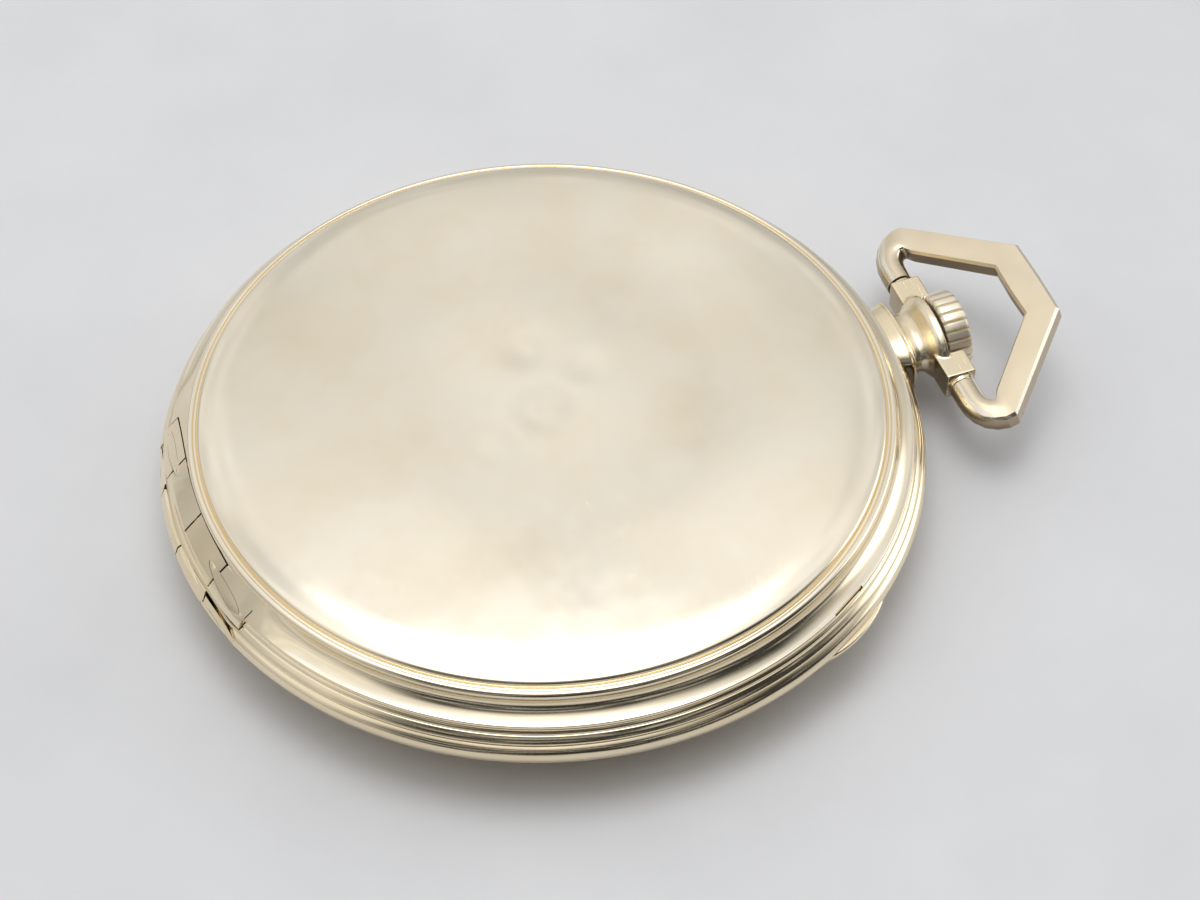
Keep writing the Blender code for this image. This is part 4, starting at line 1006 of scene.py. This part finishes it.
def camera():
    """The photo's view: about 50 degrees above the table, with the pendant to the right."""
    data = bpy.data.cameras.new("camera")
    data.lens = LENS
    data.sensor_width = 36.0
    data.clip_start = 0.01
    data.clip_end = 10.0
    obj = bpy.data.objects.new("camera", data)
    turn = (LOOK_AT - EYE).to_track_quat("-Z", "Y").to_matrix().to_4x4()
    obj.matrix_world = Matrix.Translation(EYE) @ turn @ Matrix.Rotation(math.radians(ROLL), 4, "Z")
    bpy.context.scene.collection.objects.link(obj)
    bpy.context.scene.camera = obj


def floor():
    """A pale table top just under the crystal."""
    work = bmesh.new()
    bmesh.ops.create_grid(work, x_segments=8, y_segments=8, size=1.2)
    bmesh.ops.translate(work, verts=work.verts, vec=(0, 0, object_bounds()[0].z - 0.00002))
    sheet = from_bmesh("floor", work)
    shader = Shader("floor_pale", (0.74, 0.745, 0.76), 0.5, 0.0)
    tone = shader.spread(shader.noise(16.0, 5.0, rough=0.6), 0.3, 0.8)
    shader.colour(shader.mixed(tone, (0.76, 0.765, 0.78), (0.69, 0.695, 0.715)))
    coat(sheet, shader)
    sheet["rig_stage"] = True


def soft_box(place, size, power):
    """A square lamp that faces the watch."""
    data = bpy.data.lights.new("overhead", "AREA")
    data.shape = "RECTANGLE"
    data.size = data.size_y = size
    data.energy = power
    obj = bpy.data.objects.new("overhead", data)
    obj.location = place
    obj.rotation_mode = "QUATERNION"
    obj.rotation_quaternion = (-Vector(place)).to_track_quat("-Z", "Y")
    bpy.context.scene.collection.objects.link(obj)


class Sky(Nodes):
    """The world's nodes, which turn a direction into the room's brightness."""

    easing = "SMOOTHSTEP"

    def __init__(self, tree):
        super().__init__(tree)
        self.way = self.add("TexCoord", "Generated", {})
        self.height = self.add("SeparateXYZ", "Z", {"Vector": self.way})
        flat = self.maths("SUBTRACT", 1.0, self.maths("MULTIPLY", self.height, self.height))
        self.level = self.maths("SQRT", self.maths("MAXIMUM", flat, 0.01))

    def ramp(self, value, stops):
        """A smooth curve through these (value, brightness) stops."""
        bright = self.add("FloatCurve", "Value", {"Value": value})
        mapping = bright.node.mapping
        mapping.clip_max_y = 4.0
        points = mapping.curves[0].points
        while len(points) < len(stops):
            points.new(0.5, 0.5)
        for point, stop in zip(points, stops):
            point.location = stop
        mapping.update()
        return bright

    def noise(self, scale, detail, warp, stretch=(1.0, 1.0, 1.0)):
        place = self.add("Mapping", "Vector", {"Vector": self.way, "Scale": stretch})
        values = {"Vector": place, "Scale": scale, "Detail": detail, "Distortion": warp}
        return self.add("TexNoise", "Fac", values)

    def dot(self, vector):
        """How far each direction leans toward this one: 1 along it and 0 across it."""
        return self.add("VectorMath", "Value", {0: self.way, 1: vector}, operation="DOT_PRODUCT")

    def blend(self, factor, a, b):
        return self.add("Mix", "Result", {"Factor": factor, "A": a, "B": b})

    def finish(self, strength):
        background = self.tree.nodes["Background"]
        self.feed(background.inputs["Color"], (1.0, 1.0, 1.0, 1.0))
        self.feed(background.inputs["Strength"], strength)


def studio():
    """A pale room that is brightest overhead, with a dark figure and bench behind the camera."""
    world = bpy.data.worlds.new("studio")
    bpy.context.scene.world = world
    world.use_nodes = True
    sky = Sky(world.node_tree)
    height = sky.height
    light = sky.ramp(height, ((0.0, 0.50), (0.30, 0.66), (0.55, 0.80), (0.74, 0.89),
                              (0.86, 1.00), (0.94, 1.3), (1.0, 1.6)))
    broad = sky.spread(sky.noise(2.4, 1.0, 0.4), 0.35, 0.65, 0.84, 1.08)
    small = sky.spread(sky.noise(9.0, 1.0, 0.3), 0.36, 0.64, 0.88, 1.06)
    light = sky.maths("MULTIPLY", sky.maths("MULTIPLY", light, broad), small)
    toward = Vector((*(EYE - LOOK_AT).xy, 0.0)).normalized()
    toward.rotate(Matrix.Rotation(math.radians(22), 3, "Z"))
    facing = sky.maths("DIVIDE", sky.dot(toward), sky.level)
    dim = sky.maths("MULTIPLY", sky.spread(facing, 0.10, 0.62), sky.spread(height, 0.92, 0.78))
    streaks = sky.spread(sky.noise(2.6, 2.0, 0.6, (1.0, 1.0, 3.2)), 0.50, 0.66, 0.035, 0.60)
    window = sky.spread(sky.dot(WINDOW.normalized()), 0.92, 0.985, 0.0, 1.4)
    light = sky.maths("ADD", sky.blend(dim, light, streaks), window)
    sky.finish(light)
    soft_box((-0.06, 0.02, 0.50), 0.30, 0.55)


# ---------------------------------------------------------------- assembly

def stand_in(obj, name, shader, node):
    """Put a fine piece in the place of its CAD node."""
    obj.name = name
    body = frame["nodes"][node]["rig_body"]
    coat(obj, shader, body)
    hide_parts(node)
    return obj


def case_pieces():
    """The case, pendant, crown, bow and hinge pins, in place of the CAD's coarser ones."""
    # The cover's flatter top stays paler than its slopes, a painted highlight.
    polished = gold("cover_gold", PALE_GOLD, 0.11, ripple=0.0015, hairlines=0.0007, steep=GOLD)
    seams = gold("band_gold", GOLD, 0.10, dirt=0.02, ripple=0.002, hairlines=0.0015)
    rim = gold("bezel_gold", GOLD, 0.10, dirt=0.01, ripple=0.002, hairlines=0.0015)
    # The pendant and the bow get painted shade on their sides and undersides.
    cast = gold("pendant_gold", GOLD, 0.17, dirt=0.03, hairlines=0.0015, ripple=0.01, shade=0.75)
    knurl = gold("crown_gold", PALE_GOLD, 0.36, dirt=0.02, ripple=0.004)
    # The bow's bevels get a painted highlight on top of real wear.
    satin = gold("bow_satin_gold", SATIN_GOLD, 0.26, hairlines=0.004, ripple=0.008, grain=0.004,
                 shade=0.8, wear_and_painted_sheen=0.6)
    stand_in(back_cover(), "back_cover_shell", polished, "back_cover")
    stand_in(case_band(), "case_band", seams, "case_middle")
    stand_in(bezel_ring(), "bezel_ring", rim, "bezel")
    stand_in(watch_glass(), "crystal_glass", glass("crystal"), "crystal")
    stand_in(pendant_casting(), "pendant_casting", cast, "pendant")
    stand_in(crown_cap(), "crown_cap", knurl, "crown")
    stand_in(bow_ring(), "bow_ring", satin, "bow")
    stand_in(hinge_pin(COVER_AXIS, COVER_PIN_R, COVER_CLIP), "cover_pin", seams, "back_hinge_pin")
    stand_in(hinge_pin(BEZEL_AXIS, BEZEL_PIN_R, BEZEL_CLIP), "bezel_pin", seams, "bezel_hinge_pin")


def small_pieces():
    """Round screws and jewels in place of the CAD's coarse ones, and the dial's printing."""
    blue = brushed("screw_blue", (0.03, 0.05, 0.17), 0.16, blot=(0.08, 0.03, 0.10))
    red = ruby("jewel_red")
    screws = sorted(name for name in frame["nodes"] if "screw" in name)
    for k, name in enumerate(screws):
        stand_in(fine_screw(name, 37.0 * k + 12), name + "_fine", blue, name)
    for name in sorted(frame["nodes"]):
        if name.endswith("_jewel"):
            stand_in(fine_jewel(name), name + "_fine", red, name)
    black = ink("dial_ink")
    for piece, name in ((hour_figures(), "dial_hours"), (minute_track(), "dial_minutes"),
                        (seconds_track(), "dial_seconds")):
        piece.name = name
        coat(piece, black, frame["nodes"]["dial"]["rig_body"])


# the width of the bevel on each node's edges
EDGES = {"barrel_bridge": 0.05, "train_bridge": 0.05, "balance_cock": 0.05, "pallet_cock": 0.04,
         "hour_hand": 0.03, "minute_hand": 0.03, "seconds_hand": 0.015, "click": 0.03,
         "regulator": 0.02, "ratchet_wheel": 0.02, "crown_wheel": 0.02}


def inner_pieces():
    """The CAD's own nodes inside the case keep their shape and get their finish here."""
    plain = {
        "steel": brushed("steel", (0.60, 0.60, 0.61), 0.22),
        "blued": brushed("blued", (0.035, 0.06, 0.21), 0.2, blot=(0.10, 0.03, 0.16)),
        "brass": ringed("brass", (0.80, 0.62, 0.30)),
        "nickel": stripes("bridge_nickel"),
        "pearled": pearled("plate_nickel"),
        "enamel": enamel("enamel"),
        "gold": gold("sleeve_gold", GOLD, 0.2, dirt=0.02),
    }
    by_slot = {"polished_steel": "steel", "blued_steel": "blued", "wheel_brass": "brass",
               "plate_nickel": "nickel", "dial_enamel": "enamel", "case_gold": "gold"}
    slots = {row["node"]: row["material_slot"] for row in frame["record"]["subparts"]}
    for name, node in frame["nodes"].items():
        if node.hide_render:
            continue
        finish = plain["pearled"] if name == "mainplate" else plain[by_slot[slots[name]]]
        coat(node, finish)
        node.data.shade_smooth()
        node.data.set_sharp_from_angle(angle=math.radians(30))
        if name in EDGES:
            edge = node.modifiers.new("edge", "BEVEL")
            edge.width = EDGES[name] * MM
            edge.segments = 2
            edge.limit_method = "ANGLE"
            edge.angle_limit = math.radians(40)


case_pieces()
small_pieces()
inner_pieces()
floor()
studio()
camera()
bpy.context.scene.view_settings.view_transform = "Standard"
